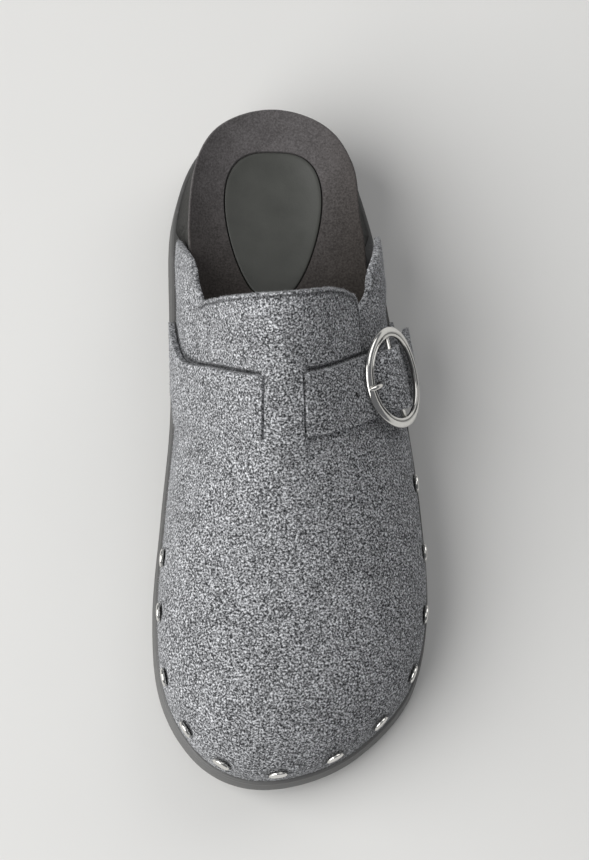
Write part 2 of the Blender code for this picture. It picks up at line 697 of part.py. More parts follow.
def make_wing(sign):
    """Side wing that comes out from under the tongue and runs back along the footbed."""
    columns, rows = 20, 8
    along = np.linspace(0.0, 1.0, columns)
    wing_stations, wing_shares = np.array(WING_INNER if sign < 0.0 else WING_OUTER).T
    top_station = wing_stations[0] + (wing_stations[-1] - wing_stations[0]) * along
    top_across = smooth(wing_stations, wing_shares, top_station)
    base_station = wing_stations[0] + (WING_BASE_END - wing_stations[0]) * along
    up = np.linspace(0.0, 1.0, rows)[:, None]
    tip = np.clip((along - (1.0 - WING_TIP_ROUND)) / WING_TIP_ROUND, 0.0, 1.0)
    shorter = 1.0 - 0.22 * (1.0 - np.sqrt(1.0 - tip ** 2))
    up = up * shorter[None, :]
    station = base_station[None, :] * (1.0 - up) + top_station[None, :] * up
    across = sign * ((1.0 - up) + top_across[None, :] * up)
    angle = station_angle(station)
    points, normals = last_point(angle, across), last_normal(angle, across)
    flare = WING_FLARE_INNER if sign < 0.0 else WING_FLARE_OUTER
    flare = flare * step(WING_FLARE_FROM, WING_FLARE_TO, station) * np.sin(0.75 * math.pi * up)
    points[..., 0] += sign * flare
    tongue_half = TONGUE_INNER if sign < 0.0 else TONGUE_OUTER
    under_tongue = 1.0 - step(tongue_half + 0.01, tongue_half + 0.15, np.abs(across))
    under_tongue = under_tongue * (1.0 - step(WING_RISE_FROM, WING_RISE_TO, station))
    depth = (WING_DEPTH_BASE + (WING_DEPTH_TOP - WING_DEPTH_BASE) * under_tongue)[..., None]
    keep = np.ones((rows - 1, columns - 1), bool)
    outer, inner = stand_clear(points - normals * depth), stand_clear(points - normals * (depth + FELT))
    return shell("wing", outer, inner, keep, "grey_felt")


def make_upper():
    item = make_vamp()
    for sign in (-1.0, 1.0):
        combine(item, make_wing(sign), "UNION")
    return item


# Strap and buckle
SLIT_ROWS = np.array([0.14, 0.15, 0.16, 0.17, 0.18, 0.19, 0.20])
STRAP_ACROSS = np.concatenate([np.linspace(STRAP_START, -0.23, 20), -SLIT_ROWS[::-1], [-0.07, 0.0, 0.07],
                               SLIT_ROWS, np.linspace(0.23, STRAP_END, 26)])
STRAP_WIDTHS = np.array([-1.0, -0.5, 0.0, 0.5, 1.0])


def route_at(across):
    table = np.array(STRAP_ROUTE)
    return smooth(table[:, 0], table[:, 1], across), smooth(table[:, 0], table[:, 2], across)


def buckle_frame_axes():
    """Middle of the buckle on the upper's face, its directions along the strap, across it and outwards,
    and the bend of the face under it."""
    nudge = 1e-2
    shares = BUCKLE_SHARE + nudge * np.array([-1.0, 0.0, 1.0])
    route = last_point(station_angle(route_at(shares)[0]), shares)
    out = last_normal(station_angle(route_at(BUCKLE_SHARE)[0]), BUCKLE_SHARE)
    run = unit(route[2] - route[0] - out * np.dot(route[2] - route[0], out))
    wide = BUCKLE_SHARE + np.array([-0.16, 0.16])
    around = last_point(station_angle(route_at(wide)[0]), wide) - route[1]
    bend = float(np.mean(-2.0 * (around @ out) / (around @ run) ** 2))
    return route[1], run, np.cross(out, run), out, bend


BUCKLE_AXES = buckle_frame_axes()


def strap_lift(points, across):
    """Height of the strap's underside above points of the upper's face."""
    middle, run, side = BUCKLE_AXES[:3]
    a, b = (points - middle) @ run, np.clip((points - middle) @ side, -12.5, 12.5)
    inside = RING_RADIUS - 0.5 * RING_BAND
    a = np.where(a < 0.0, a * inside / np.sqrt(inside ** 2 - b ** 2), a)
    at_bridge = glide(*np.array(BRIDGE_LIFTS).T, across)
    return np.where(across < 0.3, at_bridge, smooth(*np.array(BUCKLE_LIFTS).T, a))


def station_stretch(across):
    """Width across the strap, on the upper's face, of one step of ridge station."""
    nudge = 1e-2
    middle = route_at(across)[0]
    run = unit(last_point(station_angle(route_at(across + nudge)[0]), across + nudge)
               - last_point(station_angle(route_at(across - nudge)[0]), across - nudge))
    stride = last_point(station_angle(middle + 0.5), across) - last_point(station_angle(middle - 0.5), across)
    return np.linalg.norm(np.cross(stride, run), axis=-1)


def band(name, across, lift, thickness, round_end, material):
    """Felt band over the upper: a row for each share across, at a lift above points of the upper's face."""
    middle, half = route_at(across)
    half = half / station_stretch(across)
    end = np.clip((across - across[-1] + round_end) / max(round_end, 1e-9), 0.0, 1.0)
    half = half * (1.0 - TAIL_NARROWING * (round_end > 0.0) * (1.0 - np.sqrt(1.0 - end ** 2)))
    station = middle[:, None] + half[:, None] * STRAP_WIDTHS[None, :]
    angle = station_angle(station)
    grid_across = np.repeat(across[:, None], len(STRAP_WIDTHS), axis=1)
    points, normals = last_point(angle, grid_across), last_normal(angle, grid_across)
    rise = lift(points, grid_across)[..., None]
    under, over = points + normals * rise, points + normals * (rise + thickness(grid_across)[..., None])
    keep = np.ones((len(across) - 1, len(STRAP_WIDTHS) - 1), bool)
    return shell(name, over, under, keep, material)


def buckle_point(a, b, up):
    """Point in the buckle's own bent plane: a along the strap, b across it."""
    middle, run, side, out, bend = BUCKLE_AXES
    return middle + run * a + side * b + out * (RING_LIFT + RING_TILT * a - 0.5 * bend * a * a + up)


def tube(name, centres, sections, material):
    """Closed tube through lists of section points."""
    count = len(sections[0])
    points = [p for section in sections for p in section] + [centres[0], centres[-1]]
    faces = []
    for k in range(len(sections) - 1):
        for i in range(count):
            j = (i + 1) % count
            faces.append((k * count + i, k * count + j, (k + 1) * count + j, (k + 1) * count + i))
    last = (len(sections) - 1) * count
    for i in range(count):
        j = (i + 1) % count
        faces.append((len(points) - 2, j, i))
        faces.append((len(points) - 1, last + i, last + j))
    return make_object(name, points, faces, material)


def make_buckle_frame():
    turns, bevel = 40, 0.55
    half_band, half_depth = 0.5 * RING_BAND, 0.5 * RING_DEPTH
    flat, side = half_band - bevel, half_depth - bevel
    profile = ((half_band, -side), (half_band, side), (flat, half_depth), (-flat, half_depth),
               (-half_band, side), (-half_band, -side), (-flat, -half_depth), (flat, -half_depth))
    points = []
    for i in range(turns):
        turn = i * 2.0 * math.pi / turns
        for outward, up in profile:
            radius = RING_RADIUS + outward
            points.append(buckle_point(radius * math.cos(turn), radius * math.sin(turn), up))
    size = len(profile)
    faces = []
    for i in range(turns):
        here, there = i * size, ((i + 1) % turns) * size
        faces += [(here + k, there + k, there + (k + 1) % size, here + (k + 1) % size) for k in range(size)]
    item = make_object("buckle_frame", points, faces, "polished_steel")
    turn = np.arange(10) * 2.0 * math.pi / 10
    ring = list(zip(BAR_RADIUS * np.cos(turn), 0.85 * BAR_RADIUS * np.sin(turn)))
    reach = RING_RADIUS - 0.3
    sections = [[buckle_point(a, b, up - BAR_DROP) for a, up in ring] for b in (-reach, reach)]
    centres = [buckle_point(0.0, b, -BAR_DROP) for b in (-reach, reach)]
    combine(item, tube("bar", centres, sections, "polished_steel"), "UNION")
    return item


def prong_height(a):
    """Height of the prong's middle above the ring's plane, from the bar to its tip on the ring."""
    on_ring = 0.5 * RING_DEPTH + GAP + PRONG_RADIUS
    return np.interp(a, (PRONG_TO, -RING_RADIUS, PRONG_FROM), (1.5, on_ring, 0.15))


def make_prong():
    places = np.linspace(PRONG_FROM, PRONG_TO, 9)
    sections, centres = [], []
    for a in places:
        radius = PRONG_RADIUS * (1.0 - 0.35 * max(0.0, (PRONG_TO + 3.0 - a) / 3.0))
        centres.append(buckle_point(a, 0.0, prong_height(a)))
        sections.append([buckle_point(a, radius * math.cos(t), prong_height(a) + radius * math.sin(t))
                         for t in np.arange(8) * 2.0 * math.pi / 8])
    return tube("buckle_prong", centres, sections, "polished_steel")


def prong_slot():
    """Cutter for the slot in the strap that the prong comes up through."""
    ends, half = (-11.2, -1.6), 1.2
    plan = ((ends[0], -half), (ends[1], -half), (ends[1], half), (ends[0], half))
    corners = [buckle_point(a, b, up) for up in (-6.0, 9.0) for a, b in plan]
    faces = [(3, 2, 1, 0), (4, 5, 6, 7), (0, 1, 5, 4), (1, 2, 6, 5), (2, 3, 7, 6), (3, 0, 4, 7)]
    return make_object("prong_slot", corners, faces, "grey_felt")


def strap_thickness(across):
    """Full felt, pared down to a thin front edge on the inner side, where the strap runs into the vamp."""
    front = np.clip(-2.0 * STRAP_WIDTHS[None, :] - 1.0, 0.0, 1.0)
    return STRAP_FELT * (1.0 - PARED_SHARE * front * (1.0 - step(-0.32, -0.16, across)))


def make_strap():
    item = band("strap", STRAP_ACROSS, strap_lift, strap_thickness, TAIL_ROUND, "grey_felt")
    combine(item, prong_slot(), "DIFFERENCE")
    return item


def make_chape():
    across = np.linspace(CHAPE_START, 0.985, 16)
    return band("buckle_chape", across, lambda points, shares: np.full(shares.shape, GAP),
                lambda shares: np.full(shares.shape, CHAPE_FELT), 0.0, "grey_felt")


# Studs
def make_stud(index, angle):
    """Low domed disc on the felt near its lower edge."""
    sign = -1.0 if angle > math.pi else 1.0
    own = 2.0 * math.pi - angle if angle > math.pi else angle
    base_y = float(last_point(own, sign)[1])
    level = float(ledge_height(base_y)) + STUD_LEVEL
    across = sign * float(across_at_height([own], sign, [level])[0])
    middle, out = last_point(own, across), last_normal(own, across)
    side = unit(np.cross(out, np.array([0.0, 0.0, 1.0])))
    up = np.cross(side, out)
    turns = 12
    shares = ((1.0, 0.0), (1.0, 0.35), (0.82, 0.82), (0.45, 1.0))
    profile = [(STUD_RADIUS * radius, STUD_HEIGHT * height) for radius, height in shares]
    sections = []
    for radius, height in profile:
        sections.append([middle + out * (GAP + height) + radius * (side * math.cos(t) + up * math.sin(t))
                         for t in np.arange(turns) * 2.0 * math.pi / turns])
    centres = [middle + out * GAP, middle + out * (GAP + STUD_HEIGHT)]
    return tube(f"stud_{index + 1:02d}", centres, sections, "polished_steel")


def main():
    for item in list(bpy.data.objects):
        bpy.data.objects.remove(item)
    for name in MATERIALS:
        make_material(name)
    insole = make_insole()
    combine(insole, egg_slab("patch_recess", 0.4, PATCH_THICKNESS + GAP, -6.0), "DIFFERENCE")
    pieces = [make_outsole(), make_midsole(), insole, egg_slab("heel_patch", 0.0, PATCH_THICKNESS, 0.0)]
    pieces += [make_upper(), make_strap(), make_chape(), make_buckle_frame(), make_prong()]
    pieces += [make_stud(i, math.radians(angle)) for i, angle in enumerate(STUD_ANGLES)]

    # The origin is at the middle of the part's box, on the floor
    corners = np.array([v.co[:] for item in pieces for v in item.data.vertices])
    low, high = corners.min(axis=0), corners.max(axis=0)
    root = bpy.data.objects.new("clog", None)
    root.location = (-0.5 * (low[0] + high[0]), -0.5 * (low[1] + high[1]), -low[2])
    bpy.context.collection.objects.link(root)
    for item in pieces:
        item.parent = root


main()
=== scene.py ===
# %% [markdown]
# # A grey felt clog
# This lesson dresses a left felt clog: closed round toe, open heel, a strap through a round buckle and a
# row of studs above a dark sole. The measured solids are loaded first as a fixed frame. Every visible
# piece is then made again with more detail, in the same place and with the same size, and takes over from
# its plain solid.

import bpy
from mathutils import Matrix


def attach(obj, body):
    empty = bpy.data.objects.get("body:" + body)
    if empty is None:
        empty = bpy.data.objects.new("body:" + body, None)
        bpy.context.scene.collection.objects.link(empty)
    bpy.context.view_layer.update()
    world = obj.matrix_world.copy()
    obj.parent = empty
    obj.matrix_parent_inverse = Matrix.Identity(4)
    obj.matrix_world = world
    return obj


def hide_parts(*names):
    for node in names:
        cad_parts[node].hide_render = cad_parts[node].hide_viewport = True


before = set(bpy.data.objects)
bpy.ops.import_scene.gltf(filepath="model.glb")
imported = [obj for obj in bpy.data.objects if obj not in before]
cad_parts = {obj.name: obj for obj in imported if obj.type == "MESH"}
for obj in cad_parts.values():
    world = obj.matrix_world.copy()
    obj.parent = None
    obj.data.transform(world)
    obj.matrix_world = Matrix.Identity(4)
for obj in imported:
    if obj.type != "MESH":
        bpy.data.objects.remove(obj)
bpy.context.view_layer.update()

import math

import bmesh
import bpy
import numpy as np
from mathutils import Matrix, Vector

# %% [markdown]
# ## Curves from short tables
# A shoe is drawn from a few measured rows: how wide the sole is here, how high the instep is there. A
# curve through the rows fills in the rest. `smooth` passes through every row with an even bend, `glide`
# is level at each row, which suits a strap that rests, rises and rests again, and `step` is a soft
# switch.

# %% Curve helpers
MM = 0.001
GAP = 0.3
PI, TURN = math.pi, 2.0 * math.pi


def step(low, high, value):
    t = np.clip((np.asarray(value, float) - low) / (high - low), 0.0, 1.0)
    return t * t * (3.0 - 2.0 * t)


def smooth(xs, ys, at):
    xs, ys, at = np.asarray(xs, float), np.asarray(ys, float), np.asarray(at, float)
    slopes = np.gradient(ys, xs)
    row = np.clip(np.searchsorted(xs, at) - 1, 0, len(xs) - 2)
    span = xs[row + 1] - xs[row]
    t = np.clip((at - xs[row]) / span, 0.0, 1.0)
    rise = t * t * (3.0 - 2.0 * t)
    ease = slopes[row] * t * (1.0 - t) ** 2 + slopes[row + 1] * t * t * (t - 1.0)
    return ys[row] * (1.0 - rise) + ys[row + 1] * rise + span * ease


def glide(rows, at):
    xs, ys = np.array(rows, float).T
    row = np.clip(np.searchsorted(xs, at) - 1, 0, len(xs) - 2)
    return ys[row] + (ys[row + 1] - ys[row]) * step(0.0, 1.0, (at - xs[row]) / (xs[row + 1] - xs[row]))


def unit(vectors):
    return vectors / np.linalg.norm(vectors, axis=-1, keepdims=True)


print("halfway up a soft step:", float(step(0, 1, 0.5)))

# %% [markdown]
# ## The sole's outline and heights
# Seen from above, the sole is one closed curve. An angle runs round it, from the heel past the outer side
# to the toe and back along the inner side. Offsetting the curve inwards gives every other edge: the felt,
# the midsole and the footbed. Heights along the shoe come from a second table.

# %% Sole tables
SOLE_LENGTH = 264.0
# share of the length from the heel, inner x, outer x
SOLE_PLAN = (
    (0.00, -8.5, -8.5), (0.04, -35.0, 18.0), (0.15, -47.2, 31.0), (0.30, -47.6, 39.3), (0.45, -46.9, 46.0),
    (0.60, -50.2, 51.5), (0.75, -53.0, 53.4), (0.86, -50.4, 46.8), (0.95, -38.5, 26.5), (1.00, -10.5, -10.5),
)
# share, ledge top, footbed middle, rim rise inner, rim rise outer
SOLE_HEIGHTS = np.array((
    (0.00, 20.5, 36.0, 10.0, 10.0), (0.12, 20.0, 34.5, 10.5, 10.5), (0.30, 18.6, 32.5, 10.0, 7.0),
    (0.45, 17.4, 29.5, 8.0, 4.5), (0.58, 16.2, 26.5, 4.0, 3.0), (0.72, 15.2, 24.5, 2.5, 2.5),
    (0.84, 15.8, 25.0, 2.5, 2.5), (0.93, 18.2, 27.0, 2.5, 2.5), (1.00, 21.5, 29.5, 2.5, 2.5),
))


def share_angle(share):
    return np.arccos(1.0 - 2.0 * np.asarray(share, float))


def plan_rows():
    outer = [(float(share_angle(s)), x) for s, _, x in SOLE_PLAN]
    inner = [(TURN - float(share_angle(s)), x) for s, x, _ in SOLE_PLAN[-2:0:-1]]
    loop = outer + inner
    return np.array([(a + k * TURN, x) for k in (-1, 0, 1) for a, x in loop]).T


PLAN_ANGLES, PLAN_X = plan_rows()


def outline(angle, inset=0.0):
    angle = np.asarray(angle, float)
    x, y = smooth(PLAN_ANGLES, PLAN_X, angle), 0.5 * SOLE_LENGTH * np.cos(angle)
    tx = smooth(PLAN_ANGLES, PLAN_X, angle + 1e-3) - smooth(PLAN_ANGLES, PLAN_X, angle - 1e-3)
    ty = 0.5 * SOLE_LENGTH * (np.cos(angle + 1e-3) - np.cos(angle - 1e-3))
    length = np.hypot(tx, ty)
    return x + inset * ty / length, y - inset * tx / length


def share_at(y):
    return np.clip(0.5 - np.asarray(y, float) / SOLE_LENGTH, 0.0, 1.0)


def sole_height(column, y):
    return smooth(SOLE_HEIGHTS[:, 0], SOLE_HEIGHTS[:, column], share_at(y))


def ledge_height(y):
    return sole_height(1, y)


def tread_height(y):
    share = share_at(y)
    arch = 2.2 * np.sin(PI * np.clip((share - 0.36) / 0.24, 0.0, 1.0)) ** 2
    toe = 8.5 * np.clip((share - 0.76) / 0.24, 0.0, 1.0) ** 2
    heel = 1.4 * np.clip((0.06 - share) / 0.06, 0.0, 1.0) ** 2
    return arch + toe + heel


ball = share_angle(0.75)
print("sole width at the ball, mm:", round(float(outline(ball)[0] - outline(TURN - ball)[0]), 1))

# %% [markdown]
# ## The felt's surface over the last
# Felt is shaped over a last, a wooden foot. Here the last is a function of two numbers: an angle that
# picks a section along the shoe, and a share across it, from -1 at the inner side over 0 on the ridge to
# +1 at the outer side. Each half section is a short leaning wall and then a curve that runs out level on
# the ridge. Vamp, tongue, wings, strap, studs and buckle all take their place from this one function, so
# they fit each other.

# %% Last sections
# base share, ridge x, ridge y, wall lean inner and outer in degrees, fullness inner and outer
LAST_SECTIONS = np.array((
    (1.000, -9.0, -101.0, 4.0, 4.0, 0.80, 0.80), (0.947, -8.8, -97.0, 4.0, 6.0, 0.80, 0.79),
    (0.879, -8.3, -88.0, 3.0, 6.0, 0.76, 0.74), (0.788, -7.5, -74.0, 2.0, 3.0, 0.70, 0.68),
    (0.667, -6.5, -50.0, 2.0, 2.0, 0.66, 0.62), (0.538, -6.5, -26.0, 4.0, 4.0, 0.60, 0.54),
    (0.384, -6.5, 0.0, 5.0, 7.0, 0.56, 0.48), (0.213, -7.5, 38.0, 3.0, 5.0, 0.66, 0.58),
    (0.115, -8.0, 60.0, 1.0, 1.0, 1.30, 1.30),
))
# ridge y, height
RIDGE = np.array(((-104.0, 52.08), (-101.0, 53.0), (-88.0, 57.0), (-74.0, 60.5), (-50.0, 66.5), (-26.0, 73.5),
                  (0.0, 83.5), (38.0, 100.0), (60.0, 109.0)))
WALL_HEIGHT, WALL_SHARE = 5.0, 0.08
SECTION_ANGLES = share_angle(LAST_SECTIONS[:, 0])
MIRRORED_ANGLES = np.concatenate([SECTION_ANGLES[::-1], TURN - SECTION_ANGLES[1:]])


def felt_inset(angle):
    return 1.9 + 0.5 * step(math.radians(120.0), math.radians(170.0), np.minimum(angle, TURN - angle))


def section(column, angle):
    values = LAST_SECTIONS[:, column]
    return smooth(MIRRORED_ANGLES, np.concatenate([values[::-1], values[1:]]), angle)


def ridge_height(y):
    return smooth(RIDGE[:, 0], RIDGE[:, 1], y)


def wall_profile(rise, reach, height, lean, fullness, end_slope):
    slant = np.tan(lean)
    climb = (height - WALL_HEIGHT + end_slope * (WALL_HEIGHT * slant - reach)) / (1.0 - end_slope * slant)
    t = np.clip((rise - WALL_SHARE) / (1.0 - WALL_SHARE), 0.0, 1.0)
    a, b, c = (1.0 - t) ** 2, 2.0 * fullness * t * (1.0 - t), t * t
    knee = WALL_HEIGHT + climb
    way_in = (a * WALL_HEIGHT * slant + b * knee * slant + c * reach) / (a + b + c)
    way_up = (a * WALL_HEIGHT + b * knee + c * height) / (a + b + c)
    part = np.minimum(rise / WALL_SHARE, 1.0)
    low = rise < WALL_SHARE
    return np.where(low, WALL_HEIGHT * slant * part, way_in), np.where(low, WALL_HEIGHT * part, way_up)


print("sections along the last:", len(LAST_SECTIONS))


# %% Points on the last
def last_point(angle, across):
    angle, across = np.broadcast_arrays(np.asarray(angle, float), np.asarray(across, float))
    folded = angle > PI
    across, angle = np.where(folded, -across, across), np.where(folded, TURN - angle, angle)
    outer = across >= 0.0
    lean = np.radians(np.where(outer, section(4, angle), section(3, angle)))
    fullness = np.where(outer, section(6, angle), section(5, angle))
    ridge_x, ridge_y = section(1, angle), section(2, angle)
    fan = step(math.radians(112.0), math.radians(140.0), angle)
    side = np.where(outer, angle, TURN - angle)
    base_x, base_y = outline(side, felt_inset(side))
    base_z = ledge_height(base_y) + GAP
    along, height = ridge_y - base_y, ridge_height(ridge_y) - base_z
    reach = np.hypot(ridge_x - base_x, fan * along)
    slope = (ridge_height(ridge_y + 0.5) - ridge_height(ridge_y - 0.5)) * fan * along / reach
    way_in, way_up = wall_profile(1.0 - np.abs(across), reach, height, lean, fullness, slope)
    share_in, share_up = way_in / reach, way_up / height
    y = base_y + along * (fan * share_in + (1.0 - fan) * share_up)
    own = np.arccos(np.clip(2.0 * y / SOLE_LENGTH, -1.0, 1.0))
    own = np.where(outer, own, TURN - own)
    foot_x = fan * base_x + (1.0 - fan) * outline(own, felt_inset(own))[0]
    return np.stack([foot_x + (ridge_x - foot_x) * share_in, y, base_z + way_up], axis=-1)


def last_normal(angle, across):
    n = 2e-3
    across = np.where(np.abs(across) < 2.0 * n, 2.0 * n, across)
    forward = last_point(angle + n, across) - last_point(angle - n, across)
    return unit(np.cross(forward, last_point(angle, across + n) - last_point(angle, across - n)))


FINE_ANGLES = np.linspace(PI, float(SECTION_ANGLES[-1]), 400)
FINE_STATIONS = section(2, FINE_ANGLES)


def station_angle(station):
    return np.interp(station, FINE_STATIONS, FINE_ANGLES)


print("instep height, mm:", round(float(last_point(station_angle(0.0), 0.0)[2]), 1))

# %% [markdown]
# ## Two ways to make a mesh
# Felt is a sheet with thickness, so `felt_piece` takes an outer and an inner grid of points, joins them,
# and closes a rim round every edge and hole. Two attributes go with the points: cut marks edges, because
# a cut edge of felt is paler and hairier than its face, and the second marks painted shade, in creases
# and gaps where felt lies tight against felt and little light gets in, and in the steel ring's groove. A
# bevel then rounds the rim a little. `solid_loops` joins closed loops one above another, which suits
# soles, discs and rings.

# %% Mesh helpers
# the loaded solids are centred on x, the shoe's own tables are not
FRAME_SHIFT = np.array([-0.3346, 0.0, 0.0])
CUT_EDGE_ANGLE = math.radians(50.0)


def stand(name, data):
    item = bpy.data.objects.new(name, data)
    bpy.context.scene.collection.objects.link(item)
    return item


def add_mesh(name, points, faces, marks=None):
    mesh = bpy.data.meshes.new(name)
    mesh.from_pydata(((np.asarray(points) + FRAME_SHIFT) * MM).tolist(), [], faces)
    for mark, values in (marks or {}).items():
        mesh.attributes.new(mark, "FLOAT", "POINT").data.foreach_set("value", np.asarray(values, np.float32))
    work = bmesh.new()
    work.from_mesh(mesh)
    bmesh.ops.remove_doubles(work, verts=work.verts, dist=1e-7)
    bmesh.ops.delete(work, geom=[v for v in work.verts if not v.link_faces], context="VERTS")
    bmesh.ops.recalc_face_normals(work, faces=work.faces)
    work.to_mesh(mesh)
    work.free()
    mesh.shade_smooth()
    return stand(name, mesh)


def dress(piece, material, slot, *nodes):
    piece.data.materials.clear()
    piece.data.materials.append(material)
    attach(piece, "root")
    if nodes:
        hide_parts(*nodes)
    print(piece.name, "faces:", len(piece.data.polygons))
    return piece


def felt_piece(name, outer, inner, keep, toe_closed=False, bevel=0.5, pale=0.0, painted_shade=0.0):
    rows, columns = outer.shape[:2]
    count = rows * columns
    index = np.arange(count).reshape(rows, columns)
    padded = np.pad(keep, 1)
    a, b = index[:-1, :-1][keep], index[:-1, 1:][keep]
    c, d = index[1:, 1:][keep], index[1:, :-1][keep]
    faces = np.stack([a, b, c, d], axis=1).tolist() + (np.stack([d, c, b, a], axis=1) + count).tolist()
    marks = {"cut": np.zeros(2 * count), "painted_shade": np.zeros(2 * count)}
    for mark, values in (("cut", pale), ("painted_shade", painted_shade)):
        marks[mark][:count] = np.broadcast_to(values, (rows, columns)).ravel()
    for (di, dj), (p, q) in (((-1, 0), (a, b)), ((0, 1), (b, c)), ((1, 0), (c, d)), ((0, -1), (d, a))):
        open_side = ~padded[1 + di:rows + di, 1 + dj:columns + dj]
        if toe_closed and di == -1:
            open_side[0] = False
        chosen = open_side[keep]
        p, q = p[chosen], q[chosen]
        faces += np.stack([q, p, p + count, q + count], axis=1).tolist()
        marks["cut"][np.concatenate([p, q, p + count, q + count])] = 1.0
    piece = add_mesh(name, np.concatenate([outer.reshape(-1, 3), inner.reshape(-1, 3)]), faces, marks)
    edge = piece.modifiers.new("cut_edge", "BEVEL")
    edge.width, edge.segments = bevel * MM, 2
    edge.limit_method, edge.angle_limit = "ANGLE", CUT_EDGE_ANGLE
    return piece


def solid_loops(name, loops, closed=False, painted_shade=None):
    loops = np.asarray(loops)
    rows, count = loops.shape[:2]
    index = np.arange(rows * count).reshape(rows, count)
    here, there = (index, np.roll(index, -1, axis=0)) if closed else (index[:-1], index[1:])
    faces = np.stack([here, np.roll(here, -1, axis=1), np.roll(there, -1, axis=1), there], axis=-1)
    points, faces = loops.reshape(-1, 3), faces.reshape(-1, 4).tolist()
    if not closed:
        points = np.concatenate([points, [loops[0].mean(axis=0), loops[-1].mean(axis=0)]])
        for centre, ring in ((rows * count, index[0]), (rows * count + 1, index[-1])):
            faces += [(centre, int(p), int(q)) for p, q in zip(ring, np.roll(ring, -1))]
    return add_mesh(name, points, faces, None if painted_shade is None else {"painted_shade": painted_shade.ravel()})


print("frame shift, mm:", FRAME_SHIFT)

# %% [markdown]
# ## Shader sums in Python
# A finish is a small recipe: noise here, a paler edge there. Wiring dozens of nodes by hand hides the
# recipe, so one small class wraps a socket and lets Python's own operators add the Math nodes.
# `Finish.node` makes any other node from its type, its settings and the values of its sockets.

# %% Socket sums
class Wire:
    """A socket that takes part in sums."""

    def __init__(self, finish, socket):
        self.finish, self.socket = finish, socket

    def _math(self, kind, one, two):
        return self.finish.node("ShaderNodeMath", {"operation": kind}, one, two)

    def __add__(self, other):
        return self._math("ADD", self, other)

    def __radd__(self, other):
        return self._math("ADD", other, self)

    def __sub__(self, other):
        return self._math("SUBTRACT", self, other)

    def __rsub__(self, other):
        return self._math("SUBTRACT", other, self)

    def __mul__(self, other):
        return self._math("MULTIPLY", self, other)

    def __rmul__(self, other):
        return self._math("MULTIPLY", other, self)


print("a wire can add, subtract and multiply")


# %% Finish maker
class Finish:
    """One procedural material."""

    def __init__(self, name):
        self.material = bpy.data.materials.new(name)
        self.material.use_nodes = True
        self.tree = self.material.node_tree
        self.shader = self.tree.nodes["Principled BSDF"]

    def put(self, socket, value):
        if isinstance(value, Wire):
            self.tree.links.new(value.socket, socket)
        else:
            socket.default_value = value

    def node(self, kind, settings, *values, out=0, **named):
        made = self.tree.nodes.new(kind)
        for key, value in settings.items():
            setattr(made, key, value)
        for socket, value in zip(made.inputs, values):
            if value is not None:
                self.put(socket, value)
        for key, value in named.items():
            self.put(made.inputs[key], value)
        return Wire(self, made.outputs[out])

    def place(self):
        return self.node("ShaderNodeTexCoord", {}, out=3)

    def noise(self, size_mm, detail=2.0, rough=0.5):
        return self.node("ShaderNodeTexNoise", {}, Vector=self.place(), Scale=1.0 / (size_mm * MM),
                         Detail=detail, Roughness=rough)

    def strands(self, turn, length_mm, width_mm):
        sizes = (1.0 / (length_mm * MM), 1.0 / (width_mm * MM), 1.0 / (width_mm * MM))
        at = self.node("ShaderNodeMapping", {"vector_type": "TEXTURE"}, Vector=self.place(), Rotation=turn)
        at = self.node("ShaderNodeVectorMath", {"operation": "MULTIPLY"}, at, sizes)
        return self.node("ShaderNodeTexNoise", {}, Vector=at, Scale=1.0, Detail=1.0, Roughness=0.4)

    def soft(self, value, low, high):
        settings = {"interpolation_type": "SMOOTHSTEP"}
        return self.node("ShaderNodeMapRange", settings, Value=value, **{"From Min": low, "From Max": high})

    def even(self, value, low, high):
        return self.node("ShaderNodeMapRange", {}, Value=value, **{"From Min": low, "From Max": high})

    def mark(self, name):
        return self.node("ShaderNodeAttribute", {"attribute_name": name}, out=2)

    def blend(self, share, one, two):
        colours = [(*c, 1.0) if isinstance(c, tuple) else c for c in (one, two)]
        not_colours = [None] * 5
        return self.node("ShaderNodeMix", {"data_type": "RGBA"}, share, *not_colours, *colours, out=2)

    def bump(self, height, depth_mm, strength=1.0, under=None):
        named = {"Height": height, "Distance": depth_mm * MM, "Strength": strength}
        if under is not None:
            named["Normal"] = under
        return self.node("ShaderNodeBump", {}, **named)

    def done(self, **sockets):
        for name, value in sockets.items():
            self.put(self.shader.inputs[name.replace("_", " ")], value)
        return self.material


print("materials so far:", len(bpy.data.materials))

# %% [markdown]
# ## Heathered felt
# The felt is wool of several greys, carded together and pressed. Close up it is a salt-and-pepper of
# short fibres in every direction; from a step away it is an even cool grey. A picture of felt would
# repeat and blur. Instead, a fine round noise gives the specks, three stretched noises that lie in
# different directions give the fibres, and a wide one clouds them. They go into colour and bump. The sum
# is squared on its way to the colour, because wool that looks evenly mixed is even to the eye and not in
# light. Cut edges are paler, from one mark made with the mesh. The other mark paints shade: creases and
# gaps where little light gets in are painted darker.

# %% Felt finish
FIBRE_TURNS = ((0.3, 0.2, 0.4), (1.1, 0.5, 2.0), (0.6, 1.2, 1.2))
FIBRE_LENGTH, FIBRE_WIDTH, SPECK_SIZE, CLOUD_SIZE = 1.8, 0.36, 0.75, 10.0
PAINTED_SHADE_TONE, PAINTED_HOLE_SHADE_TONE = (0.010, 0.010, 0.011), (0.006, 0.006, 0.006)


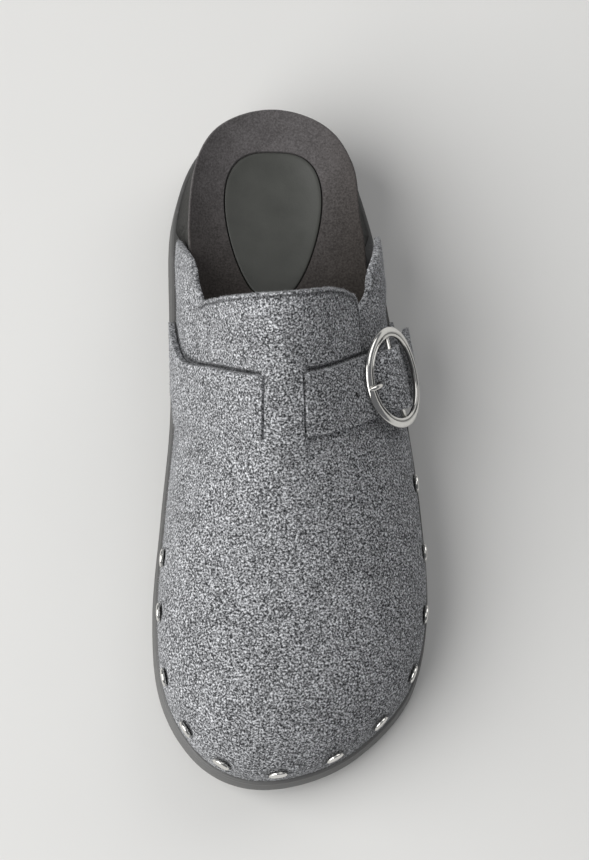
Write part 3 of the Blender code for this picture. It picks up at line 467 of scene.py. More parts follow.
def felt_finish(name, dark, light, painted_hole_shade=None):
    felt = Finish(name)
    fibre_sets = [felt.strands(turn, FIBRE_LENGTH, FIBRE_WIDTH) for turn in FIBRE_TURNS]
    fibres = (fibre_sets[0] + fibre_sets[1] + fibre_sets[2]) * (1.0 / 3.0)
    specks, clouds = felt.noise(SPECK_SIZE, 1.0, 0.6), felt.noise(CLOUD_SIZE)
    heather = specks * 1.6 + fibres * 1.2 + clouds * 0.15
    edge = felt.soft(felt.mark("cut"), 0.25, 1.0)
    tone = felt.even(heather + edge * 0.04, 1.07, 1.88)
    colour = felt.blend(tone * tone, dark, light)
    # painted shade: creases and gaps marked with the mesh are blended towards near black
    colour = felt.blend(felt.mark("painted_shade") * 0.85, colour, PAINTED_SHADE_TONE)
    # painted shade: a small dark disc stands in for the shade inside a strap hole
    if painted_hole_shade is not None:
        distance = {"operation": "DISTANCE"}
        away = felt.node("ShaderNodeVectorMath", distance, felt.place(), tuple(painted_hole_shade), out=1)
        colour = felt.blend(felt.soft(away, 1.1 * MM, 0.7 * MM), colour, PAINTED_HOLE_SHADE_TONE)
    nap = felt.bump(specks + fibres, 0.3, 0.7, felt.bump(clouds, 0.6, 0.5))
    felt.done(Base_Color=colour, Roughness=0.95, Normal=nap, Sheen_Weight=0.12, Sheen_Roughness=0.5,
              Sheen_Tint=(0.85, 0.87, 0.9, 1.0), Specular_IOR_Level=0.12)
    return felt.material


FELT_DARK, FELT_LIGHT = (0.012, 0.0125, 0.014), (0.71, 0.722, 0.751)
grey_felt = felt_finish("grey_felt", FELT_DARK, FELT_LIGHT)
print("felt nodes:", len(grey_felt.node_tree.nodes))

# %% [markdown]
# ## Where the studs go
# A row of nail heads runs round the toe, nine millimetres above the ledge, and holds the felt to the
# sole. Driven in, each one presses a dent into the felt, so their places are worked out before the felt
# is meshed. Each row of the list is the angle of a stud round the sole.

# %% Stud places
STUD_ANGLES = (95.5, 108.0, 120.0, 133.0, 146.5, 160.5, 176.0, 195.5, 211.5, 226.0, 240.0, 250.5)
STUD_RADIUS, STUD_LEVEL, DENT_DEPTH = 3.6, 9.0, 0.9


def stud_place(degrees):
    angle = math.radians(degrees)
    sign, own = (-1.0, TURN - angle) if angle > PI else (1.0, angle)
    level = float(ledge_height(last_point(own, sign)[1])) + STUD_LEVEL
    shares = np.linspace(1.0, 0.0, 200)
    share = sign * float(np.interp(level, last_point(np.full(200, own), sign * shares)[:, 2], shares))
    return last_point(own, share), last_normal(own, share)


STUD_PLACES = [stud_place(degrees) for degrees in STUD_ANGLES]


def stud_dents(points):
    away = np.min([np.linalg.norm(points - middle, axis=-1) for middle, _ in STUD_PLACES], axis=0)
    return DENT_DEPTH * (1.0 - step(0.9 * STUD_RADIUS, 1.6 * STUD_RADIUS, away))


print("studs:", len(STUD_PLACES), "first at", STUD_PLACES[0][0].round(1))

# %% [markdown]
# ## Vamp and tongue
# The vamp covers the toes and runs back into the tongue tab over the instep. Two slits leave a bridge in
# the middle, and the strap goes under it. One grid over the last does it all: its lines lie exactly on
# the slits and on the tongue's sides, its last rows run along the tongue's rounded top edge, and cells
# are left out where the felt is open. The tongue's rim is rounded and a crease follows it just inside,
# with painted shade in it. Behind the strap's rear edge the felt sinks into a narrow trough, also painted
# dark as shade. Under hand, felt is never quite even, so a few soft waves of a third of a millimetre
# move the face.

# %% Vamp and tongue shape
FELT = 2.6
TONGUE_INNER, TONGUE_OUTER = 0.62, 0.505
SLIT_FRONT, SLIT_BACK, BRIDGE_HALF, SLIT_HALF = -11.3, 12.3, 0.125, 0.19
# where the strap's edges lie in the inner and in the outer slit
STRAP_IN_SLIT = ((-11.0, 10.9), (-9.9, 12.0))
VAMP_SIDE_END, BRIDGE_RISE = 1.0, 2.6
CREASE_FROM_RIM, CREASE_DEPTH, TROUGH_DEPTH = 1.5, 0.45, 1.2
TONGUE_ROUND, TONGUE_DROP, TONGUE_PALE = 1.1, 0.8, 1.2
# share across, ridge station of the tongue's top edge
TONGUE_EDGE = np.array((
    (-0.620, 22.0), (-0.602, 26.2), (-0.548, 29.7), (-0.452, 32.9), (-0.232, 37.4), (0.000, 39.3),
    (0.197, 39.5), (0.347, 38.4), (0.432, 35.9), (0.485, 32.2), (0.505, 27.0),
))
# share across, ridge station of the strap's rear edge
STRAP_REAR = np.array((
    (-0.90, 11.9), (-0.80, 8.2), (-0.70, 6.4), (-0.62, 6.8), (-0.55, 7.8), (-0.45, 9.1), (-0.35, 9.8),
    (-0.25, 10.3), (-0.19, 10.5), (0.19, 11.8), (0.30, 12.2), (0.40, 12.8), (0.505, 13.0), (0.60, 13.0),
))


def runs(*stops):
    pairs = zip(stops, stops[1:])
    parts = [np.linspace(low, high, count, endpoint=False) for (low, count), (high, _) in pairs]
    return np.concatenate(parts + [[stops[-1][0]]])


def half_lines(tongue_half):
    narrow = 0.007
    start = SLIT_HALF + narrow
    slit = runs((0.0, 6), (BRIDGE_HALF - narrow, 1), (BRIDGE_HALF, 3), (SLIT_HALF, 1), (start, 0))
    beside = start + (tongue_half - start) * (1.0 - (1.0 - np.linspace(0, 1, 23)) ** 1.7)
    return np.concatenate([slit, beside[1:], np.linspace(tongue_half, 1.0, 28)[1:]])


def tongue_edge(across):
    shares, stations = TONGUE_EDGE.T
    return smooth(shares, stations, np.clip(across, shares[0], shares[-1]))


def soft_waves(points):
    x, y, z = np.moveaxis(points, -1, 0)
    wave = np.sin(0.11 * x + 0.07 * y + 1.0) * np.sin(0.05 * y - 0.09 * z)
    return 0.22 * (wave + 0.6 * np.sin(0.16 * y + 0.13 * x + 2.0))


def bridge_bulge(angle, across):
    station = section(2, angle)
    side = 1.0 - step(BRIDGE_HALF + 0.01, SLIT_HALF - 0.02, np.abs(across))
    front = step(SLIT_FRONT - 8.0, SLIT_FRONT + 2.0, station)
    return BRIDGE_RISE * side * front * (1.0 - step(SLIT_BACK - 2.0, SLIT_BACK + 8.0, station))


def from_rim(points):
    top = np.linspace(-TONGUE_INNER, TONGUE_OUTER, 240)
    shares = np.concatenate([np.full(40, -TONGUE_INNER), top, np.full(40, TONGUE_OUTER)])
    stations = np.concatenate([np.linspace(6.5, 22.0, 40), tongue_edge(top), np.linspace(27.0, 12.5, 40)])
    rim = last_point(station_angle(stations), shares)
    return np.min([np.linalg.norm(points - spot, axis=-1) for spot in rim], axis=0)


def rim_round(away, radius, drop):
    return drop * (1.0 - np.sqrt(1.0 - np.clip(1.0 - away / radius, 0.0, 1.0) ** 2))


def behind_strap(station, across):
    behind = station - np.interp(across, STRAP_REAR[:, 0], STRAP_REAR[:, 1])
    return np.exp(-((behind - 0.6) / 0.7) ** 2) * step(0.17, 0.2, np.abs(across))


print("tongue reaches station", round(float(tongue_edge(0.1)), 1))

# %% Vamp and tongue mesh
def stand_clear(points):
    points[..., 2] = np.maximum(points[..., 2], ledge_height(points[..., 1]) + GAP)
    return points


def make_vamp():
    even = half_lines(0.5 * (TONGUE_INNER + TONGUE_OUTER))
    even = np.concatenate([-even[:0:-1], even])
    lines = np.concatenate([-half_lines(TONGUE_INNER)[:0:-1], half_lines(TONGUE_OUTER)])
    (in_front, in_back), (out_front, out_back) = STRAP_IN_SLIT
    front = np.linspace(PI, float(station_angle(SLIT_FRONT)), 140)
    by_slits = runs((in_front, 1), (out_front, 9), (VAMP_SIDE_END, 24), (in_back, 2), (out_back, 1),
                    (SLIT_BACK, 0))
    body = np.concatenate([front, station_angle(by_slits)])
    tab_shares = runs((0.015, 7), (0.12, 18), (0.88, 4), (0.94, 6), (1.0, 0))
    tab = SLIT_BACK + tab_shares[:, None] * (tongue_edge(lines) - SLIT_BACK)
    angle = np.concatenate([np.repeat(body[:, None], len(lines), axis=1), station_angle(tab)])
    stations = np.concatenate([section(2, body), tab[:, len(lines) // 2]])
    back = step(-70.0, SLIT_FRONT, stations)[:, None]
    across = even * (1.0 - back) + lines * back
    points, normals = last_point(angle, across), last_normal(angle, across)
    rise = bridge_bulge(angle, across) + soft_waves(points) * step(1.0, 0.9, np.abs(across))
    grid_station = np.repeat(stations[:, None], len(lines), axis=1)
    grid_station[len(body):] = tab
    away, trough = from_rim(points), behind_strap(grid_station, across)
    crease = np.exp(-((away - CREASE_FROM_RIM) / 0.45) ** 2)
    rounding = rim_round(away, TONGUE_ROUND, TONGUE_DROP)[..., None]
    detail = stud_dents(points) + CREASE_DEPTH * crease + TROUGH_DEPTH * trough
    middle = 0.5 * (lines[1:] + lines[:-1])[None, :]
    station = 0.5 * (stations[1:] + stations[:-1])[:, None]
    in_slit = (np.abs(middle) > BRIDGE_HALF) & (np.abs(middle) < SLIT_HALF)
    from_, to = np.where(middle < 0.0, in_front, out_front), np.where(middle < 0.0, in_back, out_back)
    in_slit = in_slit & (station > from_) & (station < to)
    beside = ((middle < -TONGUE_INNER) | (middle > TONGUE_OUTER)) & (station > VAMP_SIDE_END)
    outer = stand_clear(points + normals * ((rise - detail)[..., None] - rounding))
    inner = stand_clear(points + normals * ((rise - FELT)[..., None] + rounding))
    # painted shade: the crease and the trough behind the strap are darkened in colour as well as sunk
    return felt_piece("vamp", outer, inner, ~(in_slit | beside), toe_closed=True,
                      pale=1.0 - step(0.4, TONGUE_PALE, away), painted_shade=np.maximum(0.8 * crease, trough))


vamp = dress(make_vamp(), grey_felt, "grey_felt", "upper")

# %% [markdown]
# ## Side wings
# On each side a wing comes out from under the tongue and runs back along the footbed to a rounded tip. It
# lies a little deeper than the vamp, so the tongue's edge stands proud of it. The grid is ruled between
# the sole and a falling top edge given by a short table for each side. The outer wing flares out over the
# edge of the sole. Both rims are rounded like a thumb. Along the tongue's edge and behind the strap the
# felt gets painted shade.

# %% Wing meshes
# ridge station, share across of the wing's top edge
WING_INNER = np.array((
    (-16.0, 0.400), (10.0, 0.460), (20.0, 0.540), (27.0, 0.610), (33.9, 0.640), (39.6, 0.645), (43.4, 0.690),
    (45.4, 0.770), (46.8, 0.860),
))
WING_OUTER = np.array((
    (-16.0, 0.360), (10.0, 0.400), (20.0, 0.460), (28.0, 0.540), (32.9, 0.583), (37.2, 0.590), (42.4, 0.620),
    (45.8, 0.680), (48.8, 0.745), (51.3, 0.795),
))
WING_BASE_END, WING_DEPTH_BASE, WING_DEPTH_TOP = 37.0, 0.6, 2.1
WING_ROUND, WING_DROP, WING_PALE = 1.5, 1.05, 1.4
FLARE_INNER, FLARE_OUTER = 0.0, 3.2
SHADE_INNER, SHADE_OUTER = 3.0, 6.0


def make_wing(name, sign, rows, tongue_half, flare, shade):
    along = 1.0 - (1.0 - np.linspace(0.0, 1.0, 96)) ** 1.25
    up = (1.0 - (1.0 - np.linspace(0.0, 1.0, 48)) ** 1.35)[:, None]
    top_station = rows[0, 0] + (rows[-1, 0] - rows[0, 0]) * along
    top_across = smooth(rows[:, 0], rows[:, 1], top_station)
    base_station = rows[0, 0] + (WING_BASE_END - rows[0, 0]) * along
    tip = np.clip((along - 0.84) / 0.16, 0.0, 1.0)
    up = up * (1.0 - 0.22 * (1.0 - np.sqrt(1.0 - tip ** 2)))[None, :]
    station = base_station * (1.0 - up) + top_station * up
    across = sign * ((1.0 - up) + top_across * up)
    angle = station_angle(station)
    points, normals = last_point(angle, across), last_normal(angle, across)
    # painted shade along the tongue's rim, darkest closest to it and gone at `shade` millimetres
    painted_tongue_shade = 1.0 - step(0.3 * shade, shade, from_rim(points))
    free = np.maximum(step(36.0, 44.0, station), step(tongue_half + 0.02, tongue_half + 0.14, np.abs(across)))
    points[..., 0] += sign * flare * free * step(16.0, 34.0, station) * np.sin(0.75 * PI * up)
    tucked = 1.0 - step(tongue_half + 0.01, tongue_half + 0.15, np.abs(across))
    tucked = tucked * (1.0 - step(28.0, 38.0, station))
    depth = WING_DEPTH_BASE + (WING_DEPTH_TOP - WING_DEPTH_BASE) * tucked - 0.6 * soft_waves(points)
    rows_apart, columns_apart = (np.linalg.norm(np.diff(points, axis=k), axis=-1) for k in (0, 1))
    below = np.pad(np.cumsum(rows_apart[::-1], axis=0)[::-1], ((0, 1), (0, 0)))
    ahead = np.pad(np.cumsum(columns_apart[:, ::-1], axis=1)[:, ::-1], ((0, 0), (0, 1)))
    away = np.minimum(below, ahead)
    rounding = rim_round(away, WING_ROUND, WING_DROP)
    # painted shade behind the strap's rear edge as well
    painted_shade = np.maximum(painted_tongue_shade, behind_strap(station, across))
    outer = stand_clear(points - normals * (depth + rounding)[..., None])
    inner = stand_clear(points - normals * (depth + FELT - rounding)[..., None])
    return felt_piece(name, outer, inner, np.ones((47, 95), bool), pale=1.0 - step(0.3, WING_PALE, away),
                      painted_shade=painted_shade)


wings = [make_wing("wing_inner", -1, WING_INNER, TONGUE_INNER, FLARE_INNER, SHADE_INNER),
         make_wing("wing_outer", 1, WING_OUTER, TONGUE_OUTER, FLARE_OUTER, SHADE_OUTER)]
for wing in wings:
    dress(wing, grey_felt, "grey_felt", "upper")

# %% [markdown]
# ## Strap and buckle loop
# The strap starts at the sole on the inner side, lies on the vamp, dips through the slits under the
# bridge, passes under the ring, over its bar and under the ring again, and ends in a tail. On the inner
# side its front edge is pared thin and runs into the vamp. A second, shorter band under the tail ties the
# buckle to the sole. Height above the felt comes from two tables: one by the share across, one by the
# distance from the buckle's middle. Before the bar that distance is stretched to the ring's curve,
# because the strap comes up everywhere just inside the ring.

# %% Strap route
STRAP_FELT, CHAPE_FELT, BUCKLE_SHARE = 2.2, 1.7, 0.60
RING_RADIUS, RING_BAND = 17.4, 3.8
# share across, ridge station of the strap's middle, half width
STRAP_ROUTE = np.array((
    (-1.00, 1.2, 15.0), (-0.75, -3.0, 12.4), (-0.45, -1.0, 11.7), (0.00, 0.4, 11.7), (0.30, 1.7, 11.7),
    (0.45, 2.8, 11.7), (0.62, 3.2, 11.7), (0.80, 4.8, 11.7), (1.00, 6.0, 11.7),
))
BRIDGE_LIFTS = ((-1.0, 0.3), (-0.147, 0.35), (-0.123, -2.8), (0.123, -2.8), (0.147, 0.35))
BUCKLE_LIFTS = np.array(((-60.0, 0.35), (-20.5, 0.35), (-15.0, 0.55), (-7.0, 4.75), (0.0, 7.2), (11.0, 3.0),
                         (17.0, 4.0), (22.0, 5.2), (34.0, 5.0), (60.0, 3.0)))


def route(across):
    return (smooth(STRAP_ROUTE[:, 0], STRAP_ROUTE[:, k], across) for k in (1, 2))


def on_route(across):
    return last_point(station_angle(next(route(across))), across)


def buckle_axes():
    out = last_normal(station_angle(next(route(BUCKLE_SHARE))), BUCKLE_SHARE)
    middle, run = on_route(BUCKLE_SHARE), on_route(BUCKLE_SHARE + 0.01) - on_route(BUCKLE_SHARE - 0.01)
    run = unit(run - out * np.dot(run, out))
    around = on_route(BUCKLE_SHARE + np.array([-0.16, 0.16])) - middle
    bend = float(np.mean(-2.0 * (around @ out) / (around @ run) ** 2))
    return middle, run, np.cross(out, run), out, bend


BUCKLE_MIDDLE, BUCKLE_RUN, BUCKLE_SIDE, BUCKLE_OUT, BUCKLE_BEND = buckle_axes()
print("buckle middle, mm:", BUCKLE_MIDDLE.round(1))


# %% Strap meshes
def strap_lift(points, across):
    inside = RING_RADIUS - 0.5 * RING_BAND
    away = points - BUCKLE_MIDDLE
    a, b = away @ BUCKLE_RUN, np.clip(away @ BUCKLE_SIDE, -12.5, 12.5)
    a = np.where(a < 0.0, a * inside / np.sqrt(inside ** 2 - b ** 2), a)
    by_buckle = smooth(BUCKLE_LIFTS[:, 0], BUCKLE_LIFTS[:, 1], a)
    return np.where(across < 0.3, glide(BRIDGE_LIFTS, across), by_buckle)


def band(name, across, widths, lift, thickness, tail_round=0.0):
    middle, half = route(across)
    run = unit(on_route(across + 0.01) - on_route(across - 0.01))
    stride = last_point(station_angle(middle + 0.5), across) - last_point(station_angle(middle - 0.5), across)
    half = half / np.linalg.norm(np.cross(stride, run), axis=-1)
    if tail_round:
        end = np.clip((across - across[-1] + tail_round) / tail_round, 0.0, 1.0)
        half = half * (1.0 - 0.5 * (1.0 - np.sqrt(1.0 - end ** 2)))
    angle = station_angle(middle[:, None] + half[:, None] * widths)
    shares = np.repeat(across[:, None], len(widths), axis=1)
    points, normals = last_point(angle, shares), last_normal(angle, shares)
    rise, thick = lift(points, shares)[..., None], thickness(shares, widths)[..., None]
    away = points - BUCKLE_MIDDLE
    a, b = away @ BUCKLE_RUN, away @ BUCKLE_SIDE
    hole = (a > -12.4) & (a < -9.2) & (np.abs(b) < 1.5) & (shares > 0.3) & (tail_round > 0)
    keep = ~(hole[:-1, :-1] & hole[1:, 1:])
    return felt_piece(name, points + normals * (rise + thick), points + normals * rise, keep, bevel=0.4)


def strap_thickness(shares, widths):
    front = np.clip(-2.0 * widths - 1.0, 0.0, 1.0)[None, :]
    return STRAP_FELT * (1.0 - 0.75 * front * (1.0 - step(-0.32, -0.16, shares)))


def chape_thickness(shares, widths):
    return np.full(shares.shape, CHAPE_FELT)


def chape_lift(points, shares):
    return np.full(shares.shape, GAP)


STRAP_WIDTHS = np.concatenate([[-1.0, -0.965], np.linspace(-0.92, 0.92, 36), [0.965, 1.0]])
STRAP_SHARES = runs((-0.985, 80), (-0.16, 14), (-0.12, 16), (0.12, 14), (0.16, 98), (0.90, 0))
# the place where the strap's finish paints the dark disc of a hole's shade
spot = last_point(station_angle(1.6), 0.40) + last_normal(station_angle(1.6), 0.40) * 2.5
strap_felt = felt_finish("strap_felt", FELT_DARK, FELT_LIGHT, (spot + FRAME_SHIFT) * MM)
strap = band("strap_band", STRAP_SHARES, STRAP_WIDTHS, strap_lift, strap_thickness, 0.1)
dress(strap, strap_felt, "grey_felt", "strap")
chape = band("buckle_loop", np.linspace(0.60, 0.985, 40), STRAP_WIDTHS, chape_lift, chape_thickness)
dress(chape, grey_felt, "grey_felt", "buckle_chape")

# %% [markdown]
# ## Loose fibres
# Felt sheds a haze of fine hairs, most of all at a cut edge, and that haze is what tells felt from card.
# Hair systems would do it, but a plain mesh stays the same in every program. Each hair is a bent ribbon
# three points long, placed on a random face of the felt, with a fixed seed so that it never changes.

# %% Fibre mesh
def face_samples(piece, count, rng, on_cut):
    mesh = piece.data
    mesh.calc_loop_triangles()
    corners = np.array([t.vertices for t in mesh.loop_triangles])
    places = np.array([v.co for v in mesh.vertices])
    marks = np.zeros(len(places), np.float32)
    mesh.attributes["cut"].data.foreach_get("value", marks)
    a, b, c = (places[corners[:, k]] for k in range(3))
    normals = np.cross(b - a, c - a)
    weight = np.linalg.norm(normals, axis=1) * (marks[corners].min(axis=1) > 0.5 if on_cut else 1.0)
    chosen = rng.choice(len(corners), count, p=weight / weight.sum())
    u, v = rng.random((2, count, 1))
    u, v = np.where(u + v > 1.0, 1.0 - u, u), np.where(u + v > 1.0, 1.0 - v, v)
    return a[chosen] + (b - a)[chosen] * u + (c - a)[chosen] * v, unit(normals[chosen])


def fibre_mesh(name, sources, length_mm, width_mm, seed):
    rng = np.random.default_rng(seed)
    samples = [face_samples(piece, count, rng, on_cut) for piece, count, on_cut in sources]
    roots, normals = (np.concatenate(part) for part in zip(*samples))
    count = len(roots)
    side = unit(np.cross(normals, rng.normal(size=(count, 3))))
    lean = unit(normals * rng.uniform(0.15, 0.9, (count, 1)) + np.cross(normals, side))
    length = length_mm * MM * rng.uniform(0.4, 1.0, (count, 1))
    middle = roots + lean * length * 0.5
    tip = middle + unit(lean + 0.7 * rng.normal(size=(count, 3)) * 0.5) * length * 0.5
    half = side * width_mm * MM * 0.5
    points = np.stack([roots - half, roots + half, middle - half, middle + half, tip], axis=1).reshape(-1, 3)
    first = np.arange(count)[:, None] * 5
    quads, ends = first + np.array([0, 1, 3, 2]), first + np.array([2, 3, 4])
    mesh = bpy.data.meshes.new(name)
    mesh.from_pydata(points.tolist(), [], quads.tolist() + ends.tolist())
    return stand(name, mesh)


fibre = Finish("felt_fibre")
fibre_tone = fibre.soft(fibre.noise(1.5, 1.0), 0.35, 0.65)
fibre.done(Base_Color=fibre.blend(fibre_tone, (0.18, 0.185, 0.195), (0.6, 0.61, 0.63)), Roughness=0.9)
HAIR_LENGTH, HAIR_WIDTH, HAIR_SEED = 1.2, 0.045, 7
on_faces = [(vamp, 10000, False), (wings[0], 2500, False), (wings[1], 2500, False), (strap, 4000, False)]
on_edges = [(vamp, 18000, True), (wings[0], 7000, True), (wings[1], 7000, True), (strap, 7000, True)]
hairs = fibre_mesh("felt_hairs", on_faces + on_edges, HAIR_LENGTH, HAIR_WIDTH, HAIR_SEED)
dress(hairs, fibre.material, "grey_felt")

# %% [markdown]
# ## Outsole
# The outsole is moulded rubber: a rounded lower edge, a wall that draws in a little, a fine lip at the
# top, and cross grooves under heel and ball. Loops round the outline give the wall. The grooves are cut
# with Boolean bars, as a mould would cut them.

# %% Outsole mesh
AROUND = np.arange(240) * TURN / 240
# inset from the outline, height above the tread or the ledge
WALL_FROM_TREAD = ((2.2, 0.0), (1.5, 0.25), (0.9, 0.7), (0.5, 1.3), (0.15, 2.2), (0.0, 3.5))
WALL_FROM_LEDGE = (
    (0.9, -3.0), (1.15, -1.5), (1.0, -1.25), (1.05, -0.7), (1.25, -0.3), (1.6, -0.05), (2.1, 0.0),
)
GROOVE_SHARES = (0.10, 0.155, 0.21, 0.265, 0.32, 0.60, 0.645, 0.69, 0.735, 0.78)


def sole_loop(inset, height):
    x, y = outline(AROUND, inset)
    return np.stack([x, y, height(y)], axis=-1)


def ladder(name, loops, rungs, low, high):
    count = len(loops[0])
    half = count // 2
    index = np.arange(len(loops) * count).reshape(len(loops), count)
    points, faces = [tuple(p) for loop in loops for p in loop], []
    for here, there in zip(index, index[1:]):
        faces += np.stack([here, np.roll(here, -1), np.roll(there, -1), there], axis=-1).tolist()
    for ring, cap in ((index[0], low), (index[-1], high)):
        lines = [[int(ring[0])] * (len(rungs) + 2)]
        for i in range(1, half):
            a, b = np.array(points[ring[i]]), np.array(points[ring[count - i]])
            inside = [a + (b - a) * f for f in rungs]
            start = len(points)
            heights = cap(np.array([p[0] for p in inside]), np.array([p[1] for p in inside]))
            points += [(p[0], p[1], float(z)) for p, z in zip(inside, heights)]
            lines.append([int(ring[i]), *range(start, start + len(rungs)), int(ring[count - i])])
        lines.append([int(ring[half])] * (len(rungs) + 2))
        for one, two in zip(lines, lines[1:]):
            faces += [tuple(dict.fromkeys(q)) for q in zip(one, one[1:], two[1:], two)]
    return add_mesh(name, points, faces)


def carve(piece, cutter):
    cut = piece.modifiers.new("groove", "BOOLEAN")
    cut.operation, cut.solver, cut.object = "DIFFERENCE", "EXACT", cutter
    bpy.context.view_layer.update()
    piece.data = bpy.data.meshes.new_from_object(piece.evaluated_get(bpy.context.evaluated_depsgraph_get()))
    piece.modifiers.clear()
    bpy.data.objects.remove(cutter)


def groove_bars():
    points, faces = [], []
    for share in GROOVE_SHARES:
        y, angle = (0.5 - share) * SOLE_LENGTH, share_angle(share)
        ends = outline(TURN - angle, 9.0)[0], outline(angle, 9.0)[0]
        first = len(points)
        points += [(x, y + s * 1.5, float(tread_height(y)) + z) for z in (-4.0, 1.8) for x, s in
                   ((ends[0], -1), (ends[1], -1), (ends[1], 1), (ends[0], 1))]
        box = ((3, 2, 1, 0), (4, 5, 6, 7), (0, 1, 5, 4), (1, 2, 6, 5), (2, 3, 7, 6), (3, 0, 4, 7))
        faces += [tuple(first + k for k in face) for face in box]
    return add_mesh("groove_bars", points, faces)


wall = [sole_loop(inset, lambda y, up=up: tread_height(y) + up) for inset, up in WALL_FROM_TREAD]
wall += [sole_loop(inset, lambda y, up=up: ledge_height(y) + up) for inset, up in WALL_FROM_LEDGE]
outsole = ladder("outsole_rubber", wall, (0.06, 0.3, 0.5, 0.7, 0.94),
                 lambda x, y: tread_height(y), lambda x, y: ledge_height(y))
carve(outsole, groove_bars())
outsole.data.set_sharp_from_angle(angle=CUT_EDGE_ANGLE)
print("grooves under the sole:", len(GROOVE_SHARES))

# %% [markdown]
# ## Rubber and foam
# The outsole is charcoal rubber with a dull skin: a fine orange-peel bump and a few paler scuffs. Its
# tone runs from paler at the toe to darker under the back of the shoe, and that darkening is painted
# shade. The midsole block above it is darker and closer to pressed foam, with tiny pores.

# %% Rubber and foam finishes
rubber = Finish("charcoal_rubber")
scuffs = rubber.soft(rubber.noise(6.0, 4.0, 0.7), 0.52, 0.75)
grain = rubber.noise(0.5, 2.0)
along = rubber.node("ShaderNodeSeparateXYZ", {}, rubber.place(), out=1)
# painted shade: the rubber darkens from the toe back towards the heel
charcoal = rubber.blend(rubber.soft(along, -0.03, -0.11), (0.058, 0.058, 0.057), (0.108, 0.108, 0.107))
rubber.done(Base_Color=rubber.blend(scuffs * 0.4, charcoal, (0.19, 0.189, 0.187)),
            Roughness=0.55 + scuffs * 0.2, Normal=rubber.bump(grain, 0.06, 0.5))
dress(outsole, rubber.material, "outsole_rubber", "outsole")

foam = Finish("dark_foam")
pores = foam.noise(0.9, 3.0, 0.6)
foam.done(Base_Color=foam.blend(foam.soft(pores, 0.35, 0.7), (0.012, 0.012, 0.011), (0.034, 0.033, 0.030)),
          Roughness=0.82, Normal=foam.bump(pores, 0.12, 0.6), Specular_IOR_Level=0.3)

# %% [markdown]
# ## Midsole and footbed edge
# The midsole stands on the ledge. At the bare heel its side shows and leans in a little; further forward
# it makes room for the felt. To know how far, the felt's face is sliced at the height of the footbed's
# edge, and the distance from the outline to that slice is measured. Between the two the edge draws in
# softly, so it meets the wings without a kink.

# %% Felt depth at the footbed's edge
INSOLE_THICKNESS, FOOTBED_CUP = 3.6, 34.0


def face_slices():
    angles, across = np.linspace(FINE_ANGLES[-1], PI, 90)[:, None], np.linspace(1.0, 0.3, 40)[None, :]
    return np.concatenate([last_point(angles, across), last_point(angles[::-1], -across)])


FACE_SLICES = face_slices()


def wall_depth(angle, height):
    (x0, y0), (x1, y1) = outline(angle), outline(angle, 1.0)
    depths = np.zeros(len(angle))
    for i, z in enumerate(height):
        sx = np.array([np.interp(z, line[:, 2], line[:, 0]) for line in FACE_SLICES]) - x0[i]
        sy = np.array([np.interp(z, line[:, 2], line[:, 1]) for line in FACE_SLICES]) - y0[i]
        beside = sx * (y1[i] - y0[i]) - sy * (x1[i] - x0[i])
        inward = sx * (x1[i] - x0[i]) + sy * (y1[i] - y0[i])
        share = beside[:-1] / (beside[:-1] - beside[1:] + 1e-12)
        crossing = inward[:-1] + (inward[1:] - inward[:-1]) * share
        found = crossing[(share >= 0.0) & (share <= 1.0) & (crossing > 0.0)]
        depths[i] = found.min() if len(found) else 0.0
    return depths


def covered(angle):
    return step(float(share_angle(0.182)), float(share_angle(0.189)), np.minimum(angle, TURN - angle))


print("lines down the felt's face:", len(FACE_SLICES))


# %% Midsole mesh
EDGE_INSET, EDGE_LEAN, MIDSOLE_INSET = 1.6, math.radians(5.0), 2.4


def rim_height(angle, y):
    rise = np.where(angle > PI, sole_height(3, y), sole_height(4, y))
    middle = 0.5 * (sole_height(3, y) + sole_height(4, y))
    return sole_height(2, y) + middle + (rise - middle) * np.minimum(1.0, np.abs(np.sin(angle)) / 0.5)


def footbed_edge(below, inwards=0.0):
    _, y = outline(AROUND, 8.0)
    z = rim_height(AROUND, y) - below
    bare = EDGE_INSET + (z - ledge_height(y)) * math.tan(EDGE_LEAN)
    felted = wall_depth(AROUND, z) + 1.05 * (WING_DEPTH_BASE + FELT) + 2.0 * GAP
    under_felt = covered(AROUND) > 0.99
    first, last = np.flatnonzero(under_felt)[[0, -1]]
    outer_side = (felted - bare)[first] * step(0.1, 0.19, share_at(y))
    inner_side = (felted - bare)[last] * step(0.04, 0.19, share_at(y))
    bare = bare + np.where(AROUND < PI, outer_side, inner_side)
    x, y = outline(AROUND, np.where(under_felt, felted, bare) + inwards)
    return np.stack([x, y, z], axis=-1)


FOOTBED_EDGE = footbed_edge(0.0)


def footbed(x, y, below=0.0):
    start, side = FOOTBED_EDGE, np.roll(FOOTBED_EDGE, -1, axis=0) - FOOTBED_EDGE
    x, y = np.asarray(x, float)[..., None], np.asarray(y, float)[..., None]
    way = (x - start[:, 0]) * side[:, 0] + (y - start[:, 1]) * side[:, 1]
    share = np.clip(way / np.sum(side[:, :2] ** 2, axis=1), 0.0, 1.0)
    gaps = np.hypot(start[:, 0] + side[:, 0] * share - x, start[:, 1] + side[:, 1] * share - y)
    weight = 1.0 / (gaps + 0.3) ** 4
    rim = np.sum(weight * (start[:, 2] + side[:, 2] * share), axis=-1) / np.sum(weight, axis=-1)
    bed = sole_height(2, y[..., 0])
    return bed + (rim - bed) * np.maximum(0.0, 1.0 - gaps.min(axis=-1) / FOOTBED_CUP) ** 3 - below


